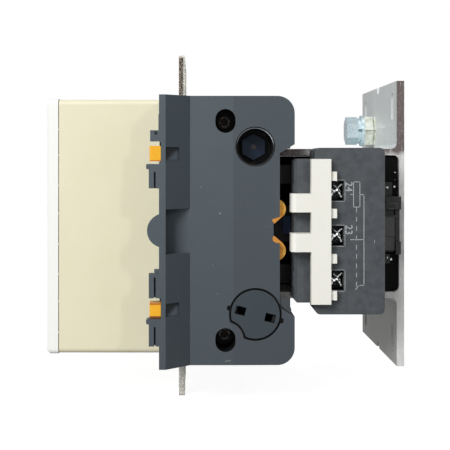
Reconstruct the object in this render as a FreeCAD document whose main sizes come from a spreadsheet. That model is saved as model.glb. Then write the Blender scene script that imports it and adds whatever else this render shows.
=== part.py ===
import FreeCAD, Part
import Sketcher
import math
import os
import re

# Three-pole magnetic contactor with a side coil, seen from its mounting plate as follows:
# X runs to the coil side, Y runs back into the mounting plane at Y = 0, Z runs up.
# The origin is the middle of the base's rear face, midway between its four slots.

os.makedirs("parts", exist_ok=True)
doc = FreeCAD.newDocument("contactor")

# Driving sizes in millimetres and degrees, one named cell each
DRIVING = {
    # whole pole unit
    "pole_pitch": 40,
    "pole_one_x": -55.75,
    "unit_drop": 2.1,
    "unit_height": 124.2,
    "unit_depth": 55.4,
    "fit_gap": 0.3,
    "kiss_gap": 0.05,
    # aluminium mounting base
    "base_width": 104,
    "base_height": 136.6,
    "base_flange": 3.6,
    "base_web": 2.5,
    "base_leg": 3,
    "base_round": 2.8,
    "magnet_clear": 0.6,
    "slot_edge_across": 12,
    "slot_edge_up": 11.8,
    "slot_width": 6.5,
    "slot_length": 13.5,
    "notch_width": 7,
    "notch_depth": 3,
    # pole housing
    "housing_left": 26,
    "housing_right": 23,
    "housing_wall": 3,
    "housing_floor": 3.1,
    "corner_block": 6.9,
    "corner_round": 8,
    "partition": 3,
    "deck_thick": 4,
    "barrier_slot": 2.6,
    "barrier_slot_depth": 3.5,
    # terminal bars, tips and bridges
    "bar_width": 20,
    "bar_thick": 3,
    "bar_inset": 8.3,
    "bar_span": 168.5,
    "bar_hole": 8.6,
    "bar_hole_edge": 9.25,
    "bar_inner_span": 24,
    "bar_screw_span": 92,
    "bar_screw": 5,
    "tip_thick": 2,
    "tip_width": 12,
    "tip_length": 10,
    "tip_span": 40,
    "bridge_thick": 3,
    "bridge_width": 12,
    "bridge_length": 54,
    "contact_spring_length": 11,
    "contact_spring_size": 9,
    "contact_spring_wire": 1.2,
    # moving system
    "carrier_travel": 8.5,
    "over_travel": 2.5,
    "beam_height": 28,
    "beam_margin": 16,
    "stem_width": 19,
    "stem_height": 16,
    "stem_head": 4,
    "stem_cheek": 3.2,
    "return_spring_size": 10,
    "return_spring_wire": 1.2,
    "return_spring_inset": 8,
    "return_spring_bore": 12,
    "return_spring_hole": 16,
    # magnet
    "magnet_x": -10,
    "magnet_stack": 60,
    "magnet_height": 60,
    "centre_leg": 18,
    "outer_leg": 9.5,
    "pad_thick": 2.5,
    "yoke_depth": 37,
    "yoke_back": 11,
    "armature_depth": 22.4,
    "armature_back": 11,
    "armature_pin": 5,
    "shading_ring": 2,
    # coil
    "coil_wall": 1.4,
    "coil_build": 11,
    "coil_flange": 1.6,
    "coil_front_gap": 8.9,
    "neck_height": 30,
    "head_start_gap": 0.6,
    "head_face_x": 75,
    "head_rear": 13.35,
    "head_depth": 32,
    "head_height": 76.2,
    "head_round": 2.5,
    "nose_face_x": 72,
    "nose_gap": 6.5,
    "nose_height": 66.2,
    "nose_chamfer": 1.2,
    "pocket_rear": 32.1,
    "pocket_height": 9.2,
    "pocket_length": 15,
    "pocket_depth": 11,
    "terminal_pitch": 20.5,
    "terminal_rise": 18.4,
    "terminal_screw": 7,
    # terminal cover
    "cover_thick": 5,
    "cover_rear": 38.5,
    "cover_width": 9,
    "cover_height": 65.9,
    "cover_tab_reach": 9.1,
    "cover_tab_height": 8.4,
    "cover_tooth_reach": 2.8,
    "cover_tooth_height": 4.2,
    # coil clip on the end of the base
    "clip_height": 28,
    "clip_thick": 12,
    "clip_hook": 6.4,
    # side support
    "support_face_x": 70.75,
    "support_wall": 3,
    "support_fold_y": 21.5,
    "support_fold_fall": 0.6,
    "slant": 11,
    "lip_thick": 3,
    "strip_recess_height": 20.4,
    "strip_window": 5.9,
    "slope_clear": 4.1,
    "slope_rise": 4.2,
    "bolt_hole": 18.4,
    "bolt_hole_step": 0.8,
    "bolt_hole_step_depth": 2.2,
    "bolt_hole_span": 77.4,
    "bolt_hole_y": 11.3,
    "bolt_head": 10.8,
    "bolt_head_thick": 5,
    "screw_hole_width": 9.3,
    "screw_hole_height": 11,
    "screw_hole_span": 101,
    "screw_hole_y": 25.1,
    "screw_head": 6.6,
    "cap_size": 22.4,
    "cap_gap": 1,
    "cap_thick": 2.6,
    "cap_bite": 9.4,
    "cap_turn": 14,
    "cap_lug": 2.6,
    "cap_hole_reach": 7.05,
    "cap_hole_long": 4.8,
    "cap_hole_tall": 3.9,
    "side_bolt": 6,
    "side_screw": 4,
    "rear_notch_height": 12.2,
    "rear_notch_depth": 2.9,
    "hook_thick_x": 5,
    "hook_reach": 4.6,
    "hook_nib": 1.2,
    "hook_nib_round": 0.7,
    "hook_bar": 2,
    "hook_groove": 0.8,
    "hook_groove_inset": 1.5,
    "hook_groove_depth": 3.5,
    "upper_hook_height": 9,
    "middle_hook_height": 11,
    "lower_hook_height": 10.4,
    "upper_bar_gap": 1.25,
    "lower_bar_gap": 0.35,
    "stop_height": 5,
    "stop_reach": 4,
    "stop_notch": 2,
    "pip_height": 1.8,
    "pip_reach": 2.2,
    "half_disc": 15.4,
    "half_disc_inset": 2.3,
    "half_disc_rise": 0.6,
    # amber latches and rocker
    "latch_width_x": 9,
    "latch_height": 6.9,
    "latch_proud": 4.3,
    "latch_travel": 1.6,
    "latch_end_gap": 0.5,
    "latch_rise": 35.4,
    "latch_seat": 0.9,
    "latch_neck": 0.6,
    "latch_head": 0.8,
    "latch_foot": 3.4,
    "latch_head_width": 5.4,
    "rocker_room": 17,
    "rocker_thick": 4,
    "rocker_lobe": 4.8,
    "rocker_lobe_span": 19.3,
    "rocker_proud": 3.1,
    "rocker_pivot": 11,
    "rocker_pin": 4,
    # arc chamber
    "chamber_depth": 49.7,
    "chamber_height": 122.5,
    "chamber_side_gap": 3.25,
    "chamber_wall": 2.6,
    "chamber_round": 2.4,
    "cap_depth": 5.6,
    "cap_overhang": 0.4,
    "vent_width": 2.4,
    "vent_length": 26,
    "vent_pitch": 5.2,
    "plate_thick": 1,
    "plate_pitch": 4,
    "plate_height": 19,
    "front_screw": 9,
    "front_screw_span": 54,
    "front_screw_thread": 4,
    "frame_screw": 4,
    "frame_screw_head": 7,
    "frame_screw_sink": 1.5,
    "frame_screw_inset": 3.9,
    "frame_screw_reach": 30,
    "frame_screw_grip": 11,
    # earth screw on the upper flange
    "earth_x": -15,
    "earth_rise": 10.4,
    "earth_thread": 8,
    "earth_head": 13,
    "earth_head_thick": 6.1,
    "earth_washer": 16.5,
    "earth_washer_thick": 1.6,
    "earth_spring_thick": 1.8,
    "earth_nut": 15,
    "earth_nut_thick": 5.6,
}

# Places worked out from the driving sizes, in the order in which each leans on the last
WORKED_OUT = {
    "pole_last_x": "pole_one_x + 2 * pole_pitch",
    "unit_left": "pole_one_x - housing_left",
    "joint_x": "pole_last_x + housing_right",
    "unit_mid": "-unit_drop",
    "unit_top": "unit_mid + unit_height / 2",
    "unit_bottom": "unit_mid - unit_height / 2",
    "channel_in": "unit_drop + magnet_height / 2 + magnet_clear",
    "channel_out": "channel_in + base_leg",
    "slot_across": "base_width / 2 - slot_edge_across",
    "slot_up": "base_height / 2 - slot_edge_up",
    "earth_z": "channel_out + earth_rise",
    "slope_out": "channel_out + slope_clear",
    "slope_in": "slope_out - slope_rise",
    "yoke_rear": "-base_web - pad_thick",
    "yoke_face": "yoke_rear - yoke_depth",
    "armature_face": "yoke_face - carrier_travel - kiss_gap",
    "beam_rear": "armature_face - armature_depth",
    "floor_front": "beam_rear + carrier_travel + fit_gap + kiss_gap",
    "housing_rear": "floor_front + housing_floor",
    "corner_rear": "housing_rear + corner_block",
    "frame_screw_y": "housing_rear + frame_screw_inset",
    "rim": "housing_rear - unit_depth",
    "bar_front": "rim + bar_inset",
    "bar_hole_up": "bar_span / 2 - bar_hole_edge",
    "bar_rear": "bar_front + bar_thick",
    "deck_rear": "bar_rear + deck_thick",
    "beam_front": "deck_rear + fit_gap",
    "fixed_tip_face": "bar_front - tip_thick",
    "moving_tip_face": "fixed_tip_face - carrier_travel + over_travel - kiss_gap",
    "bridge_rear": "moving_tip_face - tip_thick",
    "bridge_front": "bridge_rear - bridge_thick",
    "stem_head_rear": "bridge_front - contact_spring_length",
    "stem_front": "stem_head_rear - stem_head",
    "beam_left": "pole_one_x - beam_margin",
    "beam_right": "pole_last_x + beam_margin",
    "magnet_left": "magnet_x - magnet_stack / 2",
    "magnet_right": "magnet_x + magnet_stack / 2",
    "magnet_top": "unit_mid + magnet_height / 2",
    "magnet_bottom": "unit_mid - magnet_height / 2",
    "window_out": "magnet_height / 2 - outer_leg",
    "coil_front": "housing_rear + coil_front_gap",
    "head_back": "-head_rear",
    "head_front": "-head_rear - head_depth",
    "head_left": "base_width / 2 + head_start_gap",
    "nose_front": "housing_rear + nose_gap",
    "support_rear": "housing_rear",
    "lip_x": "support_face_x + slant",
    "lip_rear": "rim + lip_thick",
    "slant_rear": "lip_rear + slant",
    "bolt_y": "housing_rear - bolt_hole_y",
    "screw_y": "housing_rear - screw_hole_y",
    "support_floor_x": "joint_x + support_wall",
    "chamber_left": "unit_left + chamber_side_gap",
    "chamber_front": "rim - chamber_depth",
    "chamber_top": "unit_mid + 0.4 + chamber_height / 2",
    "chamber_bottom": "unit_mid + 0.4 - chamber_height / 2",
    "front_face": "chamber_front - cap_depth",
    "flange_front": "-base_flange",
    "rocker_y": "housing_rear - rocker_pivot",
    "rocker_left": "support_face_x - support_wall - rocker_thick - 1.7",
    "cap_face_x": "support_face_x - 0.4",
    "latch_centre_x": "lip_x - latch_width_x / 2",
    "latch_seat_y": "rim + latch_seat",
    "latch_neck_y": "latch_seat_y + latch_neck",
    "latch_head_y": "latch_neck_y + latch_head",
    "latch_half": "latch_height / 2",
    "stop_low": "unit_mid + latch_rise + latch_half + latch_travel + latch_end_gap",
    "upper_bar_top": "unit_mid + latch_rise - latch_half - upper_bar_gap",
    "middle_hook_low": "unit_mid - latch_rise + latch_half + latch_travel + latch_end_gap",
    "middle_hook_high": "middle_hook_low + middle_hook_height",
    "lower_bar_top": "unit_mid - latch_rise - latch_half - lower_bar_gap",
    "pocket_floor_x": "head_face_x - pocket_depth",
    "coil_rear": "yoke_rear - yoke_back - 0.5",
}

sizes = doc.addObject("Spreadsheet::Sheet", "Sizes")
for row, (alias, value) in enumerate(DRIVING.items(), start=1):
    sizes.set(f"A{row}", alias.replace("_", " "))
    sizes.set(f"B{row}", str(value))
    sizes.setAlias(f"B{row}", alias)
doc.recompute()


def formula(words):
    """Put the sheet's name before every named size, as the document's expressions need."""
    def sheet_name(found):
        word = found.group()
        if word in DRIVING:
            return "Sizes." + word
        if word in WORKED_OUT:
            return "Places." + word
        return word
    return re.sub(r"[a-z][a-z_]*", sheet_name, str(words))


places = doc.addObject("Spreadsheet::Sheet", "Places")
for row, (alias, words) in enumerate(WORKED_OUT.items(), start=1):
    places.set(f"A{row}", alias.replace("_", " "))
    text = re.sub(r"[a-z][a-z_]*", lambda found: "Sizes." + found.group()
                  if found.group() in DRIVING else found.group(), words)
    places.set(f"B{row}", "=" + text)
    places.setAlias(f"B{row}", alias)
    doc.recompute()


def number(words):
    """The value of a formula now, for starting sketches and finding edges."""
    return float(sizes.evalExpression(formula(words)))


pieces = []
PLANES = {"side": "YZ_Plane", "front": "XZ_Plane", "top": "XY_Plane"}


def piece(name):
    """Start one sub-part as a body of its own; its label names its file."""
    body = doc.addObject("PartDesign::Body", name)
    body.Label = name
    body.AllowCompound = True
    pieces.append(body)
    return body


def sketch_at(body, plane, level):
    """A sketch on one of the body's own origin planes, moved to a level along the third axis."""
    role = PLANES[plane]
    support = [item for item in body.Origin.OriginFeatures if item.Role == role][0]
    sketch = body.newObject("Sketcher::SketchObject", body.Name + "_outline")
    sketch.AttachmentSupport = [(support, "")]
    sketch.MapMode = "FlatFace"
    sense = "-" if plane == "front" else ""
    sketch.setExpression("AttachmentOffset.Base.z", formula(f"{sense}({level})"))
    return sketch


def pin_point(sketch, geometry, end, across, up):
    """Tie one point of a sketch to its two formulas."""
    for kind, words in (("DistanceX", across), ("DistanceY", up)):
        value = number(words)
        index = sketch.addConstraint(Sketcher.Constraint(kind, -1, 1, geometry, end, value))
        sketch.setExpression(f"Constraints[{index}]", formula(words))


def draw_polygon(sketch, corners):
    first = sketch.GeometryCount
    count = len(corners)
    spots = [FreeCAD.Vector(number(across), number(up), 0) for across, up in corners]
    for index in range(count):
        sketch.addGeometry(Part.LineSegment(spots[index], spots[(index + 1) % count]))
    for index in range(count):
        after = first + (index + 1) % count
        sketch.addConstraint(Sketcher.Constraint("Coincident", first + index, 2, after, 1))
    for index, (across, up) in enumerate(corners):
        pin_point(sketch, first + index, 1, across, up)


def draw_circle(sketch, across, up, radius):
    centre = FreeCAD.Vector(number(across), number(up), 0)
    index = sketch.addGeometry(Part.Circle(centre, FreeCAD.Vector(0, 0, 1), number(radius)))
    pin_point(sketch, index, 3, across, up)
    held = sketch.addConstraint(Sketcher.Constraint("Radius", index, number(radius)))
    sketch.setExpression(f"Constraints[{held}]", formula(radius))


def draw_slot(sketch, across, up, half_width, half_length):
    """A slot standing up on the page, with round ends."""
    middle_across = number(across)
    middle_up = number(up)
    radius = number(half_width)
    straight = number(half_length) - radius
    normal = FreeCAD.Vector(0, 0, 1)
    corners = [(f"({across}) + ({half_width})", f"({up}) - ({half_length}) + ({half_width})"),
               (f"({across}) + ({half_width})", f"({up}) + ({half_length}) - ({half_width})"),
               (f"({across}) - ({half_width})", f"({up}) + ({half_length}) - ({half_width})"),
               (f"({across}) - ({half_width})", f"({up}) - ({half_length}) + ({half_width})")]
    spots = [FreeCAD.Vector(number(one), number(other), 0) for one, other in corners]
    right = sketch.addGeometry(Part.LineSegment(spots[0], spots[1]))
    upper = Part.Circle(FreeCAD.Vector(middle_across, middle_up + straight, 0), normal, radius)
    over = sketch.addGeometry(Part.ArcOfCircle(upper, 0, math.pi))
    left = sketch.addGeometry(Part.LineSegment(spots[2], spots[3]))
    lower = Part.Circle(FreeCAD.Vector(middle_across, middle_up - straight, 0), normal, radius)
    under = sketch.addGeometry(Part.ArcOfCircle(lower, math.pi, 2 * math.pi))
    for one, other in ((right, over), (over, left), (left, under), (under, right)):
        sketch.addConstraint(Sketcher.Constraint("Coincident", one, 2, other, 1))
    for line, end, spot in ((right, 1, 0), (right, 2, 1), (left, 1, 2), (left, 2, 3)):
        pin_point(sketch, line, end, *corners[spot])
    for arc, spot in ((over, 1), (under, 0)):
        value = number(corners[spot][1])
        index = sketch.addConstraint(Sketcher.Constraint("DistanceY", -1, 1, arc, 3, value))
        sketch.setExpression(f"Constraints[{index}]", formula(corners[spot][1]))


def draw(sketch, loops):
    for loop in loops:
        if loop[0] == "circle":
            draw_circle(sketch, *loop[1:])
        elif loop[0] == "slot":
            draw_slot(sketch, *loop[1:])
        else:
            draw_polygon(sketch, loop)


def circle(across, up, diameter):
    return ("circle", across, up, f"({diameter}) / 2")


def slot(across, up, width, length):
    return ("slot", across, up, f"({width}) / 2", f"({length}) / 2")


def rectangle(low_across, high_across, low_up, high_up):
    return [(low_across, low_up), (high_across, low_up),
            (high_across, high_up), (low_across, high_up)]


def hexagon(across, up, flats, turn=0):
    corners = []
    for step in range(6):
        angle = turn + 60 * step
        corners.append((f"({across}) + ({flats}) / 2 / cos(30) * cos({angle})",
                        f"({up}) + ({flats}) / 2 / cos(30) * sin({angle})"))
    return corners


def add(body, plane, low, high, *loops):
    """Pad closed outlines from one level to a higher one along the plane's axis."""
    sketch = sketch_at(body, plane, high if plane == "front" else low)
    draw(sketch, loops)
    pad = body.newObject("PartDesign::Pad", body.Name + "_pad")
    pad.Profile = sketch
    pad.setExpression("Length", formula(f"({high}) - ({low})"))
    return pad


def cut(body, plane, low, high, *loops):
    """Pocket closed outlines between two levels along the plane's axis."""
    sketch = sketch_at(body, plane, low if plane == "front" else high)
    draw(sketch, loops)
    pocket = body.newObject("PartDesign::Pocket", body.Name + "_pocket")
    pocket.Profile = sketch
    pocket.setExpression("Length", formula(f"({high}) - ({low})"))
    return pocket


def edges_along(axis, spots):
    """Pick straight edges along an axis that pass through the given places on the other two axes."""
    places_wanted = [(number(one), number(other)) for one, other in spots]
    others = [index for index in range(3) if index != axis]

    def chosen(edge):
        if edge.Curve.TypeId != "Part::GeomLine" or abs(abs(edge.Curve.Direction[axis]) - 1) > 1e-6:
            return False
        middle = edge.CenterOfMass
        return any(abs(middle[others[0]] - one) < 1e-3 and abs(middle[others[1]] - other) < 1e-3
                   for one, other in places_wanted)
    return chosen


def dress_edges(body, kind, size, chosen):
    """Round or bevel the chosen edges of what the body holds so far."""
    doc.recompute()
    base = body.Tip
    names = [f"Edge{index + 1}" for index, edge in enumerate(base.Shape.Edges) if chosen(edge)]
    if not names:
        raise RuntimeError(f"{body.Label}: no edge to dress")
    dressed = body.newObject("PartDesign::" + kind, body.Name + "_" + kind.lower())
    dressed.Base = (base, names)
    dressed.setExpression("Radius" if kind == "Fillet" else "Size", formula(size))
    return dressed


def rims(axis, levels, diameter):
    """Pick round edges of one size that lie at given levels along an axis."""
    wanted = [number(level) for level in levels]
    radius = number(diameter) / 2

    def chosen(edge):
        if edge.Curve.TypeId != "Part::GeomCircle" or abs(edge.Curve.Radius - radius) > 1e-3:
            return False
        return any(abs(edge.CenterOfMass[axis] - level) < 1e-3 for level in wanted)
    return chosen


def repeat(body, feature, role, length, count):
    """Repeat a feature along one of the body's own axes."""
    doc.recompute()
    axis = [item for item in body.Origin.OriginFeatures if item.Role == role][0]
    pattern = body.newObject("PartDesign::LinearPattern", body.Name + "_row")
    pattern.Originals = [feature]
    pattern.Direction = (axis, [""])
    pattern.setExpression("Length", formula(length))
    pattern.Occurrences = count
    body.Tip = pattern
    return pattern


POLES = [(str(index + 1), f"pole_one_x + {index} * pole_pitch") for index in range(3)]
FRONT_SCREWS = [(f"pole_one_x + {index + 0.5} * pole_pitch", f"unit_mid {sign} front_screw_span / 2")
                for index in range(2) for sign in "+-"]
FRAME_SCREWS = ("frame_screw_reach", "-frame_screw_reach")


def make_mounting_base():
    """Aluminium extrusion: back web, two legs towards the pole unit and two slotted flanges."""
    body = piece("mounting_base")
    half = "base_height / 2"
    outside = "channel_out"
    inside = "channel_in"
    leg_tip = "housing_rear"
    section = [("0", f"-({half})"), ("0", half), ("flange_front", half), ("flange_front", outside),
               (leg_tip, outside), (leg_tip, inside), ("-base_web", inside),
               ("-base_web", f"-({inside})"), (leg_tip, f"-({inside})"), (leg_tip, f"-({outside})"),
               ("flange_front", f"-({outside})"), ("flange_front", f"-({half})")]
    add(body, "side", "-base_width / 2", "base_width / 2", section)
    corners = [("flange_front", outside), ("flange_front", f"-({outside})"),
               ("-base_web", inside), ("-base_web", f"-({inside})")]
    dress_edges(body, "Fillet", "base_round", edges_along(0, corners))
    slots = []
    for across in ("slot_across", "-slot_across"):
        for up in ("slot_up", "-slot_up"):
            slots.append(slot(across, up, "slot_width", "slot_length"))
    earth_hole = circle("earth_x", "earth_z", "earth_thread")
    cut(body, "front", "flange_front - 1", "1", *slots, earth_hole)
    for edge in (f"{half} - notch_depth", f"-({half}) - 1"):
        notch = rectangle("-notch_width / 2", "notch_width / 2", edge, f"{edge} + notch_depth + 1")
        cut(body, "front", "flange_front - 1", "1", notch)
    holes = [circle(across, "frame_screw_y", "frame_screw + 0.4") for across in FRAME_SCREWS]
    cut(body, "top", f"-({outside}) - 1", f"{outside} + 1", *holes)
    sinks = rims(2, (inside, f"-({inside})"), "frame_screw + 0.4")
    dress_edges(body, "Chamfer", "frame_screw_sink", sinks)


def pole_wall_slots(body):
    """Windows for the terminal bars in the upper and lower walls, and slots between the poles."""
    for number_word, pole in POLES:
        half = "bar_width / 2 + fit_gap / 2"
        window = rectangle(f"{pole} - ({half})", f"{pole} + {half}",
                           "bar_front - fit_gap", "bar_rear")
        cut(body, "top", "unit_bottom - 1", "unit_bottom + housing_wall + 1", window)
        cut(body, "top", "unit_top - housing_wall - 1", "unit_top + 1", window)
    for index in range(2):
        middle = f"pole_one_x + {index + 0.5} * pole_pitch"
        groove = rectangle(f"{middle} - barrier_slot / 2", f"{middle} + barrier_slot / 2",
                           "rim - 1", "rim + unit_depth * 0.6")
        cut(body, "top", "unit_top - barrier_slot_depth", "unit_top + 1", groove)
        cut(body, "top", "unit_bottom - 1", "unit_bottom + barrier_slot_depth", groove)


def make_pole_housing():
    """Main moulding: carries the bars on a deck and guides the contact carrier behind it."""
    body = piece("pole_housing")
    leg_side = "channel_out + fit_gap"
    outline = [("rim", "unit_bottom"), ("rim", "unit_top"), ("corner_rear", "unit_top"),
               ("corner_rear", leg_side), ("housing_rear", leg_side),
               ("housing_rear", f"-({leg_side})"), ("corner_rear", f"-({leg_side})"),
               ("corner_rear", "unit_bottom")]
    add(body, "side", "unit_left", "joint_x", outline)
    corners = [("corner_rear", "unit_top"), ("corner_rear", "unit_bottom")]
    dress_edges(body, "Fillet", "corner_round", edges_along(0, corners))
    for number_word, pole in POLES:
        half = "pole_pitch / 2 - partition / 2"
        room = rectangle(f"{pole} - ({half})", f"{pole} + {half}",
                         "unit_bottom + housing_wall", "unit_top - housing_wall")
        cut(body, "front", "rim", "bar_rear", room)
        stem_room = rectangle(f"{pole} - stem_width / 2 - fit_gap", f"{pole} + stem_width / 2 + fit_gap",
                              "unit_mid - stem_height / 2 - fit_gap",
                              "unit_mid + stem_height / 2 + fit_gap")
        cut(body, "front", "rim", "deck_rear + 1", stem_room)
    beam_room = rectangle("beam_left - fit_gap", "beam_right + fit_gap",
                          "unit_mid - beam_height / 2 - fit_gap",
                          "unit_mid + beam_height / 2 + fit_gap")
    cut(body, "front", "deck_rear", "floor_front", beam_room)
    magnet_room = rectangle("magnet_left - 7", "magnet_right + 7",
                            "magnet_bottom - 1", "magnet_top + 1")
    cut(body, "front", "beam_rear - 1", "housing_rear + 1", magnet_room)
    pole_wall_slots(body)
    bosses = [circle(across, up, "front_screw") for across, up in FRONT_SCREWS]
    add(body, "front", "rim", "bar_rear", *bosses)
    cut(body, "front", "rim", "rim + 8", *[circle(across, up, "front_screw_thread") for across, up in FRONT_SCREWS])
    for up in ("unit_mid + bar_screw_span / 2", "unit_mid - bar_screw_span / 2"):
        holes = [circle(pole, up, "bar_screw") for number_word, pole in POLES]
        cut(body, "front", "bar_rear", "bar_rear + 12", *holes)
    holes = [circle(across, "frame_screw_y", "frame_screw") for across in FRAME_SCREWS]
    cut(body, "top", f"{leg_side} - 1", "channel_in + frame_screw_grip + 1", *holes)
    cut(body, "top", "-channel_in - frame_screw_grip - 1", f"1 - ({leg_side})", *holes)
    bolt_holes = [circle("bolt_y", f"unit_mid {sign} bolt_hole_span / 2", "side_bolt") for sign in "+-"]
    screw_holes = [circle("screw_y", f"unit_mid {sign} screw_hole_span / 2", "side_screw") for sign in "+-"]
    cut(body, "side", "joint_x - 16", "joint_x + 1", *bolt_holes, *screw_holes)


def add_lip_hooks(body):
    """Hooks and stops on the lip's front, which hold clipped-on auxiliary blocks."""
    low_x = "lip_x - hook_thick_x"
    disc = circle("rim + half_disc_inset", "unit_mid + half_disc_rise", "half_disc")
    add(body, "side", "lip_x - lip_thick", "lip_x", disc)
    stop_top = "stop_low + stop_height"
    add(body, "side", low_x, "lip_x", rectangle("rim - stop_reach", "rim + 1", "stop_low", stop_top))
    notch = rectangle("rim - stop_notch", "rim - 0.6", f"{stop_top} - stop_notch", stop_top)
    cut(body, "side", "lip_x - stop_notch", "lip_x", notch)
    pip = rectangle("rim - pip_reach", "rim + 1", "middle_hook_high - 1", "middle_hook_high + pip_height")
    add(body, "side", low_x, "lip_x - 1", pip)
    upper_high = "upper_bar_top - hook_bar"
    lower_high = "lower_bar_top - hook_bar"
    hooks = [(f"{upper_high} - upper_hook_height", upper_high), ("middle_hook_low", "middle_hook_high"),
             (f"{lower_high} - lower_hook_height", lower_high)]
    for low, high in hooks:
        add(body, "side", low_x, "lip_x", rectangle("rim - hook_reach", "rim + 1", low, high))
        groove = rectangle("rim - hook_groove_inset - hook_groove", "rim - hook_groove_inset",
                           low, f"{high} - 1.6")
        cut(body, "side", "lip_x - hook_groove_depth", "lip_x", groove)
    nib_tip = "rim - hook_reach - hook_nib"
    nibs = []
    for top in ("upper_bar_top", "lower_bar_top"):
        bar = rectangle(nib_tip, "rim + 1", f"{top} - hook_bar - 0.4", top)
        add(body, "side", low_x, "lip_x", bar)
        nibs.extend([(nib_tip, top), (nib_tip, f"{top} - hook_bar - 0.4")])
    dress_edges(body, "Fillet", "hook_nib_round", edges_along(0, nibs))


def make_side_support():
    """Moulded side wing: hollow behind its outer face, with the lip that auxiliary blocks clip on."""
    body = piece("side_support")
    notch_half = "rear_notch_height / 2"
    notch_deep = "support_rear - rear_notch_depth"
    outline = [("rim", "unit_bottom"), ("rim", "unit_top"), ("corner_rear", "unit_top"),
               ("corner_rear", "unit_mid + slope_out"), ("support_rear", "unit_mid + slope_in"),
               ("support_rear", f"unit_mid + {notch_half}"),
               (notch_deep, f"unit_mid + {notch_half} - rear_notch_depth * 1.15"),
               (notch_deep, f"unit_mid - {notch_half} + rear_notch_depth * 1.15"),
               ("support_rear", f"unit_mid - {notch_half}"),
               ("support_rear", "unit_mid - slope_in"), ("corner_rear", "unit_mid - slope_out"),
               ("corner_rear", "unit_bottom")]
    add(body, "side", "joint_x", "lip_x", outline)
    corners = [("corner_rear", "unit_top"), ("corner_rear", "unit_bottom")]
    dress_edges(body, "Fillet", "corner_round", edges_along(0, corners))
    add_lip_hooks(body)
    far = "lip_x + 5"
    outside = [("support_face_x - support_fold_fall", "corner_rear + 1"), (far, "corner_rear + 1"),
               (far, "lip_rear"), ("lip_x", "lip_rear"), ("support_face_x", "slant_rear"),
               ("support_face_x", "support_rear - support_fold_y")]
    cut(body, "top", "unit_bottom - 1", "unit_top + 1", outside)
    wall = "support_wall"
    inner_x = f"support_face_x - {wall}"
    hollow = [("joint_x - 1", f"support_rear - {wall}"),
              (inner_x, f"support_rear - {wall}"), (inner_x, f"slant_rear - {wall} * 0.414"),
              (f"lip_x - {wall} * 1.414", "lip_rear"), ("joint_x - 1", "lip_rear")]
    cut(body, "top", f"unit_bottom + {wall}", f"unit_top - {wall}", hollow)
    pockets = [("unit_mid", "strip_recess_height / 2", "slant_rear + 1"),
               ("unit_mid + latch_rise", "strip_window / 2", "lip_rear + strip_window"),
               ("unit_mid - latch_rise", "strip_window / 2", "lip_rear + strip_window")]
    for up, half, back in pockets:
        backing = [(inner_x, "lip_rear"), ("lip_x", "lip_rear"), ("support_face_x", "slant_rear"),
                   (inner_x, "slant_rear")]
        add(body, "top", f"{up} - {half} - {wall}", f"{up} + {half} + {wall}", backing)
        cut(body, "top", f"{up} - {half}", f"{up} + {half}", rectangle("support_face_x", far, "lip_rear", back))
    relief = rectangle("support_rear", "corner_rear + 1", "channel_in - fit_gap", "channel_out + fit_gap")
    cut(body, "side", "joint_x - 1", "base_width / 2 + fit_gap", relief)
    add_support_tubes(body)
    cut_support_openings(body)
    return body


def add_support_tubes(body):
    """Tubes behind the outer face for the bolts and screws, the cap's seat and the rocker's pin."""
    inside = "support_face_x - support_wall / 2"
    for sign in "+-":
        bolt_up = f"unit_mid {sign} bolt_hole_span / 2"
        screw_up = f"unit_mid {sign} screw_hole_span / 2"
        add(body, "side", "joint_x", inside, circle("bolt_y", bolt_up, "bolt_hole + 4"))
        add(body, "side", "joint_x", inside,
            slot("screw_y", screw_up, "screw_hole_width + 3", "screw_hole_height + 3"))
    seat = circle("bolt_y", "unit_mid - bolt_hole_span / 2", "cap_size + 2 * cap_gap + 3")
    add(body, "side", "support_face_x - 7", inside, seat)
    add(body, "side", "rocker_left - 4", inside, circle("rocker_y", "unit_mid", "rocker_pin"))


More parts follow.
